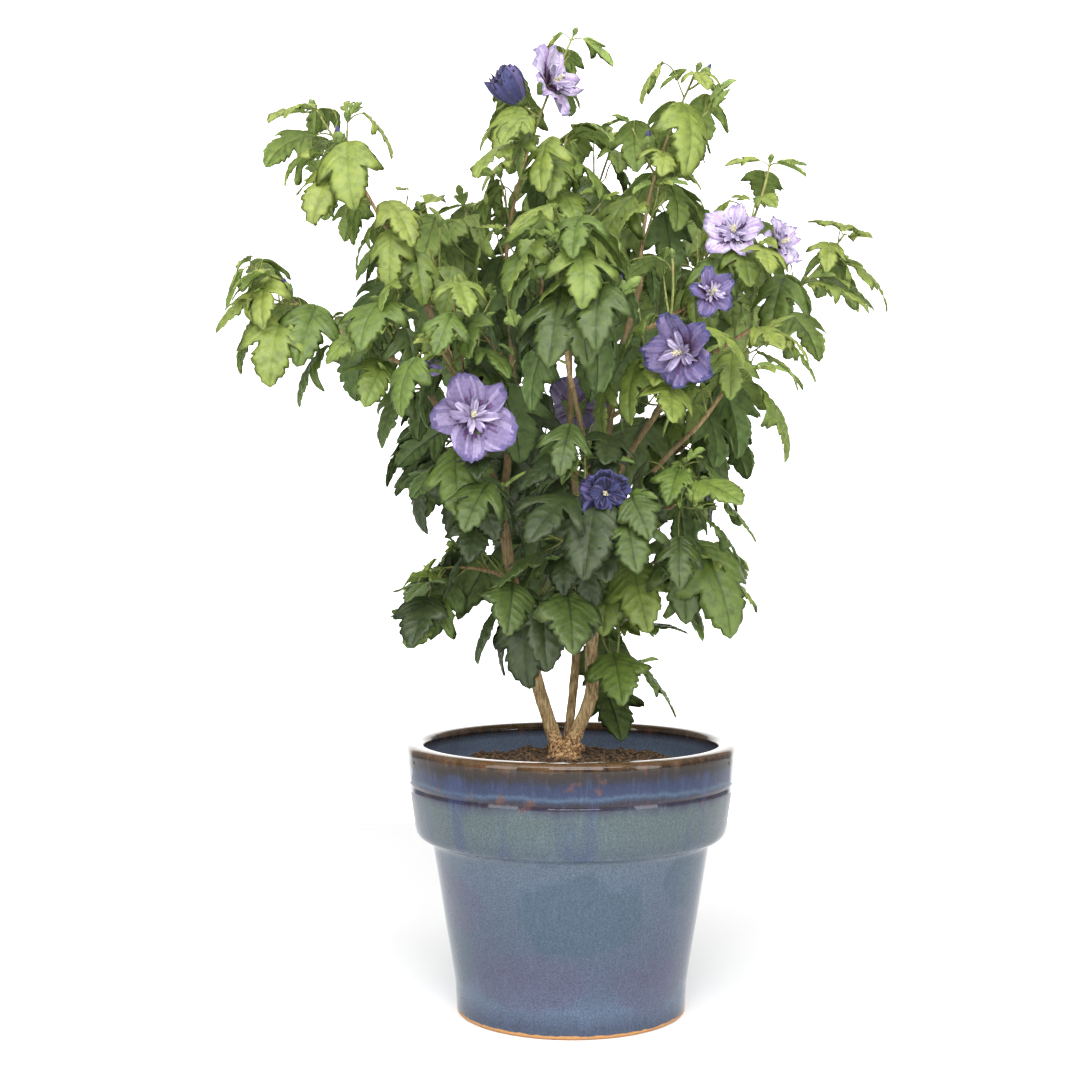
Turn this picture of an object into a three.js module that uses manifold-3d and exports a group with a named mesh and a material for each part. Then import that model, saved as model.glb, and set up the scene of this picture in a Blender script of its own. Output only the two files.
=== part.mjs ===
// Potted hibiscus shrub: a glazed pot, potting soil, a forked trunk, boughs and leafy sprays.
// Millimetres, +Z up, -Y towards the viewer. The origin is the centre of the pot's flat underside.

import * as THREE from "three";
import { mergeVertices } from "three/addons/utils/BufferGeometryUtils.js";
import Module from "manifold-3d";

const wasm = await Module();
wasm.setup();

// Clearance between pieces that touch on the real plant, and the shortest edge that a cut leaves
const GAP = 0.3;
const SLIVER = 0.002;

// Pot: straight tapered body, thick collar and a rolled lip
const POT_HEIGHT = 244;
const POT_SIDES = 36;
const FOOT_RADIUS = 104;
const FOOT_CHAMFER = 1.5;
const SHOULDER_RADIUS = 105.5;
const SHOULDER_HEIGHT = 28;
const BODY_TOP_RADIUS = 125.5;
const BODY_TOP_HEIGHT = 153;
const COLLAR_LOW_RADIUS = 141.5;
const COLLAR_LOW_HEIGHT = 168;
const RIDGE_RADIUS = 147.2;
const RIDGE_HEIGHT = 208;
const LIP_ROLL = 7;
const LIP_RADIUS = 143;
const LIP_STEPS = 5;
const WALL = 10.5;
const POT_FLOOR = 15;
const INNER_FLOOR_RADIUS = 88;

// Potting soil: a flat seat round the trunk, falling to the wall
const SOIL_TOP = 230;
const SEAT_RADIUS = 34;
const SOIL_SHOULDER_RADIUS = 96;
const SOIL_SHOULDER_DROP = 6;
const SOIL_EDGE_DROP = 18;

// Inside radii of the pot at the ridge, at the collar's low edge and at the body's top
const COLLAR_INSIDE = RIDGE_RADIUS - WALL;
const COLLAR_LOW_INSIDE = COLLAR_INSIDE - 5;
const BODY_INSIDE = BODY_TOP_RADIUS - WALL;

// Trunk: three stems that leave one flared stump, cut flat at the soil
const FLARE = 9;
const FLARE_HEIGHT = 20;
const FORK_SHARE = 0.13;
const TRUNK_SINK = 12;
const TRUNK_STEPS = 5;
const FLARE_AT_BURIED_END = 0.6;
const FLARE_GAIN = 4;
const CUT_BLOCK = 200;

// Limbs: a curve from the parent through a middle point to the tip, with the thickness at both ends
const LIMB_SIDES = 6;
const LIMB_STEPS = 4;
const ROOT_SINK = 1;
const CLEARANCE_SPARE = 0.05;
const LIMB_SAMPLES = 30;
const STEMS = [
  {
    name: "stem_left", from: [-9, -1, 230],
    mid: [-43, -9, 345], tip: [-64, -16, 463], thick: [13.2, 9.4],
  },
  {
    name: "stem_right", from: [-3, -2, 230],
    mid: [21, -2, 352], tip: [28, -14, 484], thick: [13.2, 9],
  },
  {
    name: "stem_back", from: [-5, 6, 230],
    mid: [8, 30, 380], tip: [0, 50, 520], thick: [10.5, 7],
  },
];
const BOUGHS = [
  {
    name: "bough_upper_left", on: "stem_left", at: 1,
    mid: [-99, -28, 560], tip: [-133, -38, 647], thick: [8.8, 5.8],
  },
  {
    name: "bough_top", on: "stem_left", at: 0.95,
    mid: [-54, 6, 552], tip: [-56, 12, 640], thick: [7.6, 5.2],
  },
  {
    name: "bough_left", on: "stem_left", at: 0.84,
    mid: [-112, -22, 535], tip: [-159, -22, 589], thick: [6.8, 4.6],
  },
  {
    name: "bough_centre", on: "bough_top", at: 0.4,
    mid: [-38, -22, 575], tip: [-28, -26, 624], thick: [5, 4.2],
  },
  {
    name: "bough_right", on: "stem_right", at: 1,
    mid: [41, -12, 572], tip: [63, -6, 659], thick: [8.4, 5.6],
  },
  {
    name: "bough_far_right", on: "stem_right", at: 0.93,
    mid: [86, 6, 552], tip: [134, 20, 600], thick: [6.4, 4.6],
  },
  {
    name: "bough_low_right", on: "stem_right", at: 0.78,
    mid: [66, -30, 480], tip: [105, -42, 522], thick: [5.6, 4.2],
  },
  {
    name: "bough_front", on: "stem_right", at: 0.86,
    mid: [14, -54, 500], tip: [0, -90, 560], thick: [5.6, 4.2],
  },
  {
    name: "bough_back", on: "stem_back", at: 1,
    mid: [0, 58, 580], tip: [0, 72, 640], thick: [6.6, 4.6],
  },
  {
    name: "bough_back_left", on: "stem_back", at: 0.85,
    mid: [-28, 78, 530], tip: [-62, 104, 600], thick: [5.6, 4.2],
  },
  {
    name: "bough_back_right", on: "stem_back", at: 0.72,
    mid: [36, 74, 505], tip: [72, 110, 590], thick: [5.6, 4.2],
  },
];

// Sprays: each grows from one stem that meets its limb, with side twigs, leaves, blooms and buds.
// A bloom has its centre, the way it faces and its width; its kind is open, furled or bud.
const SPRAYS = [
  {
    name: "spray_top", on: "bough_top", at: 1, mid: [-50, 12, 742], tip: [2, 4, 884],
    twigs: 4, reach: 50, leaf: 68, seed: 4040,
    blooms: [
      { kind: "open", at: [-13, -14, 840], face: [0.75, -0.55, 0.35], wide: 66 },
      { kind: "furled", at: [-52, 0, 832], face: [-0.62, -0.3, 0.72], wide: 30 },
    ],
  },
  {
    name: "spray_upper_left", on: "bough_upper_left", at: 1, mid: [-182, -44, 735], tip: [-226, -44, 808],
    twigs: 3, reach: 46, leaf: 70, seed: 3376,
    blooms: [{ kind: "bud", at: [-203, -56, 778], face: [-0.2, -0.4, 0.9], wide: 17 }],
  },
  {
    name: "spray_far_left", on: "bough_left", at: 1, mid: [-228, -26, 626], tip: [-284, -26, 672],
    twigs: 2, reach: 36, leaf: 73, seed: 2053,
    blooms: [{ kind: "bud", at: [-252, -36, 650], face: [-0.3, -0.3, 0.9], wide: 15 }],
  },
  {
    name: "spray_left_shoulder", on: "bough_left", at: 0.66, mid: [-136, -66, 572], tip: [-160, -92, 612],
    twigs: 3, reach: 46, leaf: 77, seed: 1873, blooms: [],
  },
  {
    name: "spray_mid_left", on: "bough_upper_left", at: 0.62, mid: [-118, 2, 650], tip: [-138, 14, 728],
    twigs: 4, reach: 56, leaf: 75, seed: 1950, blooms: [],
  },
  {
    name: "spray_front_left", on: "bough_upper_left", at: 0.3, mid: [-92, -76, 560], tip: [-104, -100, 650],
    twigs: 4, reach: 60, leaf: 82, seed: 1560,
    blooms: [
      { kind: "open", at: [-84, -128, 534], face: [0.12, -0.95, 0.2], wide: 74 },
      { kind: "furled", at: [-120, -118, 574], face: [-0.85, -0.45, -0.1], wide: 24 },
    ],
  },
  {
    name: "spray_left_inner", on: "stem_left", at: 0.84, mid: [-82, -56, 448], tip: [-92, -78, 490],
    twigs: 3, reach: 46, leaf: 82, seed: 2351, blooms: [],
  },
  {
    name: "spray_centre", on: "bough_centre", at: 1, mid: [-22, -40, 700], tip: [-4, -34, 786],
    twigs: 4, reach: 62, leaf: 77, seed: 1190, blooms: [],
  },
  {
    name: "spray_front", on: "bough_front", at: 1, mid: [-6, -118, 612], tip: [4, -122, 690],
    twigs: 4, reach: 58, leaf: 84, seed: 3039,
    blooms: [{ kind: "bud", at: [36, -146, 640], face: [0.3, -0.4, 0.8], wide: 16 }],
  },
  {
    name: "spray_low_front", on: "bough_front", at: 0.42, mid: [12, -84, 452], tip: [10, -112, 500],
    twigs: 4, reach: 54, leaf: 84, seed: 2515,
    blooms: [{ kind: "furled", at: [27, -132, 468], face: [0.1, -0.98, -0.1], wide: 40 }],
  },
  {
    name: "spray_upper_right", on: "bough_right", at: 1, mid: [74, 0, 748], tip: [114, 2, 852],
    twigs: 4, reach: 56, leaf: 70, seed: 2124,
    blooms: [
      { kind: "bud", at: [120, -10, 846], face: [0.5, -0.2, 0.8], wide: 15 },
      { kind: "bud", at: [70, -18, 780], face: [-0.1, -0.3, 0.95], wide: 20 },
    ],
  },
  {
    name: "spray_right", on: "bough_right", at: 0.72, mid: [132, -36, 664], tip: [176, -34, 762],
    twigs: 4, reach: 50, leaf: 68, seed: 1272,
    blooms: [
      { kind: "open", at: [140, -66, 698], face: [-0.25, -0.9, 0.35], wide: 52 },
      { kind: "open", at: [186, -50, 690], face: [0.7, -0.6, 0.35], wide: 48 },
      { kind: "open", at: [120, -88, 642], face: [0.3, -0.92, 0.2], wide: 46 },
    ],
  },
  {
    name: "spray_far_right", on: "bough_far_right", at: 1, mid: [200, 24, 648], tip: [252, 22, 708],
    twigs: 3, reach: 40, leaf: 68, seed: 2945, blooms: [],
  },
  {
    name: "spray_front_right", on: "bough_right", at: 0.3, mid: [76, -74, 586], tip: [84, -106, 668],
    twigs: 4, reach: 56, leaf: 82, seed: 1924,
    blooms: [{ kind: "open", at: [88, -130, 586], face: [-0.55, -0.8, -0.1], wide: 64 }],
  },
  {
    name: "spray_right_low", on: "bough_low_right", at: 1, mid: [134, -50, 560], tip: [158, -52, 612],
    twigs: 3, reach: 46, leaf: 77, seed: 1037, blooms: [],
  },
  {
    name: "spray_right_inner", on: "bough_low_right", at: 0.45, mid: [84, -64, 456], tip: [98, -92, 482],
    twigs: 3, reach: 46, leaf: 82, seed: 681, blooms: [],
  },
  {
    name: "spray_base_right", on: "stem_right", at: 0.5, mid: [72, -22, 406], tip: [124, -26, 416],
    twigs: 2, reach: 34, leaf: 87, seed: 1654, blooms: [],
  },
  {
    name: "spray_foot_right", on: "stem_right", at: 0.3, mid: [36, 2, 308], tip: [44, 4, 344],
    twigs: 2, reach: 30, leaf: 73, seed: 599, blooms: [],
  },
  {
    name: "spray_low_left", on: "stem_left", at: 0.7, mid: [-86, -26, 402], tip: [-116, -34, 402],
    twigs: 2, reach: 34, leaf: 82, seed: 1181, blooms: [],
  },
  {
    name: "spray_foot_front", on: "stem_left", at: 0.5, mid: [-34, -44, 368], tip: [-12, -66, 406],
    twigs: 3, reach: 40, leaf: 82, seed: 2008, blooms: [],
  },
  {
    name: "spray_back_top", on: "bough_back", at: 1, mid: [14, 92, 716], tip: [40, 98, 800],
    twigs: 4, reach: 66, leaf: 80, seed: 1071, blooms: [],
  },
  {
    name: "spray_back_left", on: "bough_back_left", at: 1, mid: [-104, 142, 662], tip: [-136, 160, 742],
    twigs: 4, reach: 66, leaf: 82, seed: 981,
    blooms: [{ kind: "open", at: [-122, 196, 668], face: [-0.3, 0.9, 0.3], wide: 66 }],
  },
  {
    name: "spray_back_right", on: "bough_back_right", at: 1, mid: [116, 150, 652], tip: [146, 168, 736],
    twigs: 4, reach: 66, leaf: 82, seed: 3109, blooms: [],
  },
  {
    name: "spray_back_low_left", on: "bough_back_left", at: 0.45, mid: [-84, 84, 500], tip: [-128, 106, 548],
    twigs: 4, reach: 56, leaf: 84, seed: 2690, blooms: [],
  },
  {
    name: "spray_back_low_right", on: "bough_back_right", at: 0.5, mid: [98, 96, 506], tip: [138, 112, 556],
    twigs: 4, reach: 56, leaf: 84, seed: 1614, blooms: [],
  },
  {
    name: "spray_back_low", on: "stem_back", at: 0.6, mid: [4, 108, 448], tip: [-4, 146, 516],
    twigs: 4, reach: 60, leaf: 87, seed: 2180,
    blooms: [{ kind: "open", at: [8, 196, 560], face: [0.1, 0.95, 0.3], wide: 70 }],
  },
];

// Blooms: spindles given as low end, widest ring, high end and radius, in shares of the bloom's width
const BUD = [-0.55, -0.15, 0.6, 0.3];
const FURLED_PETALS = [-0.55, 0.1, 0.85, 0.42];
const FURLED_CALYX = [-0.75, -0.4, 0.1, 0.24];
const OPEN_COLUMN = [-0.2, -0.05, 0.22, 0.07];
const OPEN_CALYX = [-0.36, -0.22, -0.1, 0.11];
const SPINDLE_SIDES = 5;
const PETALS = 5;
const PETAL_TIP = 0.5;
const PETAL_NOTCH = 0.4;
const PETAL_FRONT = -0.16;
const PETAL_BACK = -0.22;

// Twigs and leaves
const GOLDEN_TURN = 137.5;
const STEM_SIDES = 4;
const STEM_STEPS = 4;
const TWIG_SIDES = 3;
const TWIG_STEPS = 2;
const SPRAY_THICK = [4.6, 3.4];
const TWIG_THICK = [2.4, 2.2];
const STALK_THICK = [2.2, 1.8];
const STALK_SINK = 1;
const TWIG_SPREAD = 52;
const TWIG_FIRST = 0.12;
const TWIG_LAST = 0.8;
const TWIG_LIFT = 0.22;
const NODE_STEP = 25;
const STEM_LEAF_FIRST = 0.12;
const TWIG_LEAF_FIRST = 0.34;
const LEAF_LAST = 0.94;
const PETIOLE_SPREAD = 56;
const PETIOLE_SHARE = 0.32;
const STALK_KEEL = 2;
const ROOT_DEPTH = 5;
const LEAF_YOUNG_SHARE = 0.5;
const LEAF_VARY = 0.14;
const DROOP_YOUNG = -16;
const DROOP_OLD = 64;
const DROOP_QUICK = 0.35;
const DROOP_VARY = 18;
const ROLL_VARY = 28;
const LEAF_THICK = 2;
const LEAF_CROWDING = 22;
const SPACE_MARGIN = 2.6;
const LIMB_MARGIN = 3;
const AZIMUTH_TRIES = [0, 45, -45, 90, -90];
const LENGTH_TRIES = [1, 0.78];
const BONE_SAMPLES = 10;
const TWIG_VARY = 0.15;
const TWIG_SHORTER = 0.4;
const TWIG_SAG = 0.3;
const TWIG_AGE_SHARE = 0.75;
const SOIL_CLEARANCE = 6;
const LEVEL_SHARE = 0.05;
// A bloom's stalk: where it leaves the stem, how far it bends and how far behind the centre it ends
const BLOOM_ROOT_STEPS = 25;
const BLOOM_ROOT_FIRST = 4;
const BLOOM_ROOT_LAST = 23;
const BLOOM_BEND_AT = 0.6;
const BLOOM_BEND = 0.1;
const BLOOM_BACK = { open: 0.3, furled: 0.5, bud: 0.5 };
// The air kept free of leaves round a bloom and in front of it
const BLOOM_AIR_BEHIND = 0.2;
const BLOOM_AIR_AHEAD = 90;
const BLOOM_AIR_ASIDE = 0.48;
// Half of the blade's outline as shares of its length: along the midrib, across it and up
const BLADE_LOBE = [0.5, 0.44, -0.1];
const BLADE_TIP = [1, 0, -0.16];
const BLADE_CENTRE = 0.4;
const BLADE_BASE_HALF = 0.05;
const BLADE_SIDES = [[0.25, 0.26, -0.04], [0.75, 0.22, -0.12]];

const degrees = THREE.MathUtils.degToRad;
const vector = (list) => new THREE.Vector3(...list);
const UP = new THREE.Vector3(0, 0, 1);

// Seeded numbers from 0 to 1, the same on every run
function seededNumbers(seed) {
  let state = seed | 0;
  return () => {
    state = (state + 0x6d2b79f5) | 0;
    let mixed = Math.imul(state ^ (state >>> 15), state | 1);
    mixed ^= mixed + Math.imul(mixed ^ (mixed >>> 7), mixed | 61);
    return ((mixed ^ (mixed >>> 14)) >>> 0) / 4294967296;
  };
}

// A curve that passes through its middle point half way
function curveThrough(from, mid, tip) {
  const control = mid.clone().multiplyScalar(2).sub(from.clone().add(tip).multiplyScalar(0.5));
  return new THREE.QuadraticBezierCurve3(from, control, tip);
}

// A point of the straight pieces that a tube follows along its curve
function pointOnTube(curve, steps, share) {
  const low = Math.min(steps - 1, Math.floor(share * steps));
  return curve.getPoint(low / steps).lerp(curve.getPoint((low + 1) / steps), share * steps - low);
}

// Two directions square to a line
function squareTo(direction) {
  const across = new THREE.Vector3().crossVectors(direction, new THREE.Vector3(0, 1, 0));
  if (across.length() < 0.2) {
    across.crossVectors(direction, new THREE.Vector3(1, 0, 0));
  }
  across.normalize();
  return [across, new THREE.Vector3().crossVectors(direction, across)];
}

// Closed mesh from points and faces of three or more corners
function closedGeometry(points, faces) {
  const geometry = new THREE.BufferGeometry();
  const corners = [];
  for (const face of faces) {
    for (let i = 1; i < face.length - 1; i += 1) {
      corners.push(face[0], face[i], face[i + 1]);
    }
  }
  const numbers = points.flatMap((point) => point.toArray());
  geometry.setAttribute("position", new THREE.Float32BufferAttribute(numbers, 3));
  geometry.setIndex(corners);
  return geometry;
}

// Tapering tube with flat ends, square to its curve
function tubeGeometry(curve, radiusAt, sides, steps, first = 0, before = 0, beyond = 0) {
  const points = [];
  const faces = [];
  let across = squareTo(curve.getTangent(first))[0];
  for (let step = 0; step <= steps; step += 1) {
    const share = first + ((1 - first) * step) / steps;
    const along = curve.getTangent(share);
    across = across.clone().addScaledVector(along, -across.dot(along)).normalize();
    const other = new THREE.Vector3().crossVectors(along, across);
    const centre = curve.getPoint(share);
    if (step === 0) {
      centre.addScaledVector(along, -before);
    }
    if (step === steps) {
      centre.addScaledVector(along, beyond);
    }
    const radius = radiusAt(share);
    for (let side = 0; side < sides; side += 1) {
      const angle = (side / sides) * Math.PI * 2;
      const point = centre.clone().addScaledVector(across, Math.cos(angle) * radius);
      points.push(point.addScaledVector(other, Math.sin(angle) * radius));
    }
  }
  for (let step = 0; step < steps; step += 1) {
    for (let side = 0; side < sides; side += 1) {
      const next = (side + 1) % sides;
      const low = step * sides;
      const high = low + sides;
      faces.push([low + side, low + next, high + next, high + side]);
    }
  }
  const end = steps * sides;
  faces.push(Array.from({ length: sides }, (_, side) => sides - 1 - side));
  faces.push(Array.from({ length: sides }, (_, side) => end + side));
  return closedGeometry(points, faces);
}

// Ring of outline points with one point above and one below: a thin closed blade or a spindle
function bipyramidGeometry(outline, above, below) {
  const count = outline.length;
  const faces = outline.flatMap((_, i) => [
    [i, (i + 1) % count, count],
    [(i + 1) % count, i, count + 1],
  ]);
  return closedGeometry([...outline, above, below], faces);
}

function toSolid(geometry) {
  const bare = geometry.index && !geometry.attributes.normal ? geometry : geometry.clone();
  bare.deleteAttribute("normal");
  bare.deleteAttribute("uv");
  const merged = mergeVertices(bare, 1e-4);
  const vertProperties = new Float32Array(merged.attributes.position.array);
  const triVerts = new Uint32Array(merged.index.array);
  return new wasm.Manifold(new wasm.Mesh({ numProp: 3, vertProperties, triVerts }));
}

// The largest body of a solid, without loose scraps or sealed hollows
function mainBody(solid) {
  const bodies = solid.decompose();
  return bodies.reduce((best, body) => (body.volume() > best.volume() ? body : best));
}

function toGeometry(solid) {
  const mesh = mainBody(solid.simplify(SLIVER)).getMesh();
  const geometry = new THREE.BufferGeometry();
  const numbers = new Float32Array(mesh.vertProperties);
  geometry.setAttribute("position", new THREE.BufferAttribute(numbers, 3));
  geometry.setIndex(new THREE.BufferAttribute(new Uint32Array(mesh.triVerts), 1));
  return geometry;
}

const shrub = new THREE.Group();

function addPiece(name, geometry, colour, roughness) {
  const shaded = geometry.index ? geometry.toNonIndexed() : geometry;
  shaded.computeVertexNormals();
  const material = new THREE.MeshStandardMaterial({ color: colour, roughness });
  const mesh = new THREE.Mesh(shaded, material);
  mesh.name = name;
  shrub.add(mesh);
}

// Pot and soil

const turned = (profile) => {
  const corners = profile.map(([radius, height]) => new THREE.Vector2(radius, height));
  return new THREE.LatheGeometry(corners, POT_SIDES).rotateX(Math.PI / 2);
};

function potProfile() {
  const profile = [
    [0, 0],
    [FOOT_RADIUS - FOOT_CHAMFER, 0],
    [FOOT_RADIUS, FOOT_CHAMFER],
    [SHOULDER_RADIUS, SHOULDER_HEIGHT],
    [BODY_TOP_RADIUS, BODY_TOP_HEIGHT],
    [COLLAR_LOW_RADIUS, COLLAR_LOW_HEIGHT],
    [RIDGE_RADIUS, RIDGE_HEIGHT],
  ];
  for (let step = 0; step <= LIP_STEPS; step += 1) {
    const angle = (step / LIP_STEPS) * Math.PI;
    const r = LIP_RADIUS + LIP_ROLL * Math.cos(angle);
    profile.push([r, POT_HEIGHT - LIP_ROLL + LIP_ROLL * Math.sin(angle)]);
  }
  profile.push([COLLAR_INSIDE, RIDGE_HEIGHT], [COLLAR_LOW_INSIDE, COLLAR_LOW_HEIGHT]);
  profile.push([BODY_INSIDE, BODY_TOP_HEIGHT - WALL], [INNER_FLOOR_RADIUS, POT_FLOOR], [0, POT_FLOOR]);
  return profile;
}

function soilProfile() {
  const edge = SOIL_TOP - SOIL_EDGE_DROP;
  return [
    [0, POT_FLOOR + GAP],
    [INNER_FLOOR_RADIUS - GAP, POT_FLOOR + GAP],
    [BODY_INSIDE - 2 * GAP, BODY_TOP_HEIGHT - WALL],
    [COLLAR_LOW_INSIDE - 2 * GAP, COLLAR_LOW_HEIGHT],
    [COLLAR_INSIDE - 2 * GAP, RIDGE_HEIGHT],
    [COLLAR_INSIDE - 2 * GAP, edge],
    [SOIL_SHOULDER_RADIUS, SOIL_TOP - SOIL_SHOULDER_DROP],
    [SEAT_RADIUS, SOIL_TOP],
    [0, SOIL_TOP],
  ];
}

addPiece("pot", turned(potProfile()), 0x6d829c, 0.15);
addPiece("soil", turned(soilProfile()), 0x3c2d28, 0.95);

// Trunk and limbs

const limbs = new Map();
const clearances = [];

function limbRadius(limb, extra) {
  const [wide, narrow] = limb.thick;
  return (share) => (wide + (narrow - wide) * share) / 2 + extra;
}

// The space that a limb takes with its clearance, for cutting what grows from it
function clearanceOf(limb) {
  const wider = limbRadius(limb, GAP + CLEARANCE_SPARE);
  const before = ROOT_SINK + GAP;
  return toSolid(tubeGeometry(limb.curve, wider, LIMB_SIDES, LIMB_STEPS, limb.first, before, GAP));
}

function cutClear(solid) {
  return mainBody(clearances.reduce((rest, clearance) => rest.subtract(clearance), solid));
}

for (const stem of STEMS) {
  stem.curve = curveThrough(vector(stem.from), vector(stem.mid), vector(stem.tip));
  stem.first = FORK_SHARE;
  limbs.set(stem.name, stem);
}

function trunkSolid() {
  const block = new THREE.BoxGeometry(CUT_BLOCK, CUT_BLOCK, CUT_BLOCK);
  const belowSoil = toSolid(block.translate(0, 0, SOIL_TOP + GAP - CUT_BLOCK / 2));
  const stumps = STEMS.map((stem) => {
    const start = vector(stem.from).addScaledVector(stem.curve.getTangent(0), -TRUNK_SINK);
    const end = stem.curve.getPoint(FORK_SHARE);
    const middle = stem.curve.getPoint(FORK_SHARE / 3);
    const stump = new THREE.QuadraticBezierCurve3(start, middle, end);
    const slim = limbRadius(stem, 0)(FORK_SHARE);
    const radius = (share) => {
      const height = stump.getPoint(share).z - SOIL_TOP;
      const flare = FLARE * Math.max(0, 1 - height / FLARE_HEIGHT) ** 2;
      return slim + flare * Math.min(1, share * FLARE_GAIN + FLARE_AT_BURIED_END);
    };
    return toSolid(tubeGeometry(stump, radius, LIMB_SIDES, TRUNK_STEPS));
  });
  return mainBody(wasm.Manifold.union(stumps).subtract(belowSoil));
}

const trunk = trunkSolid();
addPiece("trunk", toGeometry(trunk), 0xb39a78, 0.85);

for (const stem of STEMS) {
  const start = FORK_SHARE + GAP / stem.curve.getLength();
  const body = tubeGeometry(stem.curve, limbRadius(stem, 0), LIMB_SIDES, LIMB_STEPS, start);
  addPiece(stem.name, body, 0xb39a78, 0.85);
  clearances.push(clearanceOf(stem));
}

for (const bough of BOUGHS) {
  const parent = limbs.get(bough.on);
  const from = parent.curve.getPoint(bough.at);
  bough.curve = curveThrough(from, vector(bough.mid), vector(bough.tip));
  bough.first = 0;
  limbs.set(bough.name, bough);
  const body = tubeGeometry(bough.curve, limbRadius(bough, 0), LIMB_SIDES, LIMB_STEPS, 0, ROOT_SINK);
  addPiece(bough.name, toGeometry(cutClear(toSolid(body))), 0xa98f6d, 0.85);
  clearances.push(clearanceOf(bough));
}

// The space of each spray: every point nearer to its own stem and blooms than to any other's

for (const spray of SPRAYS) {
  const parent = limbs.get(spray.on);
  spray.curve = curveThrough(parent.curve.getPoint(spray.at), vector(spray.mid), vector(spray.tip));
  spray.bones = spray.curve.getPoints(BONE_SAMPLES).slice(1);
  for (const bloom of spray.blooms) {
    bloom.centre = vector(bloom.at);
    bloom.facing = vector(bloom.face).normalize();
    const back = bloom.centre.clone().addScaledVector(bloom.facing, -bloom.wide * BLOOM_BACK[bloom.kind]);
    const root = nearestOnStem(spray.curve, back);
    const mid = root.clone().lerp(back, BLOOM_BEND_AT);
    mid.addScaledVector(bloom.facing, -bloom.wide * BLOOM_BEND);
    bloom.stalk = curveThrough(root, mid, back);
    spray.bones.push(bloom.centre, ...bloom.stalk.getPoints(3).slice(1));
  }
}

// The point of a spray's stem that a stalk to the target leaves from
function nearestOnStem(curve, target) {
  let best = null;
  for (let i = BLOOM_ROOT_FIRST; i <= BLOOM_ROOT_LAST; i += 1) {
    const point = pointOnTube(curve, STEM_STEPS, i / BLOOM_ROOT_STEPS);
    if (!best || point.distanceTo(target) < best.distanceTo(target)) {
      best = point;
    }
  }
  return best;
}

// How far inside its own space a point lies: the least distance to a plane half way to another spray
function depthInSpace(point, spray) {
  const nearer = (best, bone) => (bone.distanceTo(point) < best.distanceTo(point) ? bone : best);
  const own = spray.bones.reduce(nearer);
  const near = own.distanceToSquared(point);
  let depth = Infinity;
  for (const other of SPRAYS.filter((candidate) => candidate !== spray)) {
    for (const bone of other.bones) {
      const middle = (bone.distanceToSquared(point) - near) / (2 * bone.distanceTo(own));
      depth = Math.min(depth, middle);
    }
  }
  return depth;
}

const limbSamples = [];
for (const limb of limbs.values()) {
  const radius = limbRadius(limb, 0);
  for (let i = 0; i <= LIMB_SAMPLES; i += 1) {
    const share = i / LIMB_SAMPLES;
    limbSamples.push({ centre: limb.curve.getPoint(share), radius: radius(share) });
  }
}

function clearOfLimbs(point, margin) {
  return limbSamples.every((sample) => sample.centre.distanceTo(point) > sample.radius + margin);
}

// A leaf keeps out of a bloom and out of the air that an open bloom faces
function clearOfBlooms(point, spray) {
  return spray.blooms.every((bloom) => {
    const away = point.clone().sub(bloom.centre);
    const ahead = away.dot(bloom.facing);
    const aside = Math.sqrt(Math.max(0, away.lengthSq() - ahead * ahead));
    const behind = ahead < -bloom.wide * BLOOM_AIR_BEHIND;
    return behind || ahead > BLOOM_AIR_AHEAD || aside > bloom.wide * BLOOM_AIR_ASIDE;
  });
}

const inReach = (points, spray) => points.every((point) => (
  point.z > SOIL_TOP + SOIL_CLEARANCE
  && depthInSpace(point, spray) > SPACE_MARGIN
  && clearOfLimbs(point, LIMB_MARGIN)
));

// Direction beside a curve: turned about it by the azimuth and spread from it by the angle
function besideCurve(curve, share, azimuth, spread) {
  const along = curve.getTangent(share);
  const [across, other] = squareTo(along);
  const turn = degrees(azimuth);
  const side = across.multiplyScalar(Math.cos(turn)).addScaledVector(other, Math.sin(turn));
  const lean = degrees(spread);
  return side.multiplyScalar(Math.sin(lean)).addScaledVector(along, Math.cos(lean));
}

function growTwig(curve, share, azimuth, length) {
  const from = pointOnTube(curve, STEM_STEPS, share);
  const side = besideCurve(curve, share, azimuth, TWIG_SPREAD);
  const tip = from.clone().addScaledVector(side, length).addScaledVector(UP, length * TWIG_LIFT);
  const mid = from.clone().lerp(tip, 0.5).addScaledVector(UP, -length * TWIG_LIFT * TWIG_SAG);
  return curveThrough(from, mid, tip);
}

// A leaf: a stalk that leaves its twig, and a blade that hangs from it with its upper side outwards
function growLeaf(stalk, share, azimuth, length, droop, roll) {
  const { curve, steps } = stalk;
  const side = besideCurve(curve, share, azimuth, PETIOLE_SPREAD);
  const root = pointOnTube(curve, steps, share);
  const sunk = pointOnTube(curve, steps, Math.max(0.01, share - ROOT_DEPTH / stalk.length));
  const base = root.clone().addScaledVector(side, length * PETIOLE_SHARE);
  const heading = new THREE.Vector3(side.x, side.y, 0);
  if (heading.length() < LEVEL_SHARE) {
    heading.set(1, 0, 0);
  }
  heading.normalize();
  const down = degrees(droop);
  const along = heading.clone().multiplyScalar(Math.cos(down)).addScaledVector(UP, -Math.sin(down));
  const upright = heading.clone().multiplyScalar(Math.sin(down)).addScaledVector(UP, Math.cos(down));
  const normal = upright.applyAxisAngle(along, degrees(roll));
  const across = new THREE.Vector3().crossVectors(normal, along);
  const at = ([ahead, aside, raised]) => base.clone()
    .addScaledVector(along, ahead * length)
    .addScaledVector(across, aside * length)
    .addScaledVector(normal, raised * length);
  return { root, sunk, base, along, across, normal, length, at };
}

const mirrored = ([ahead, aside, raised]) => [ahead, -aside, raised];

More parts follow.
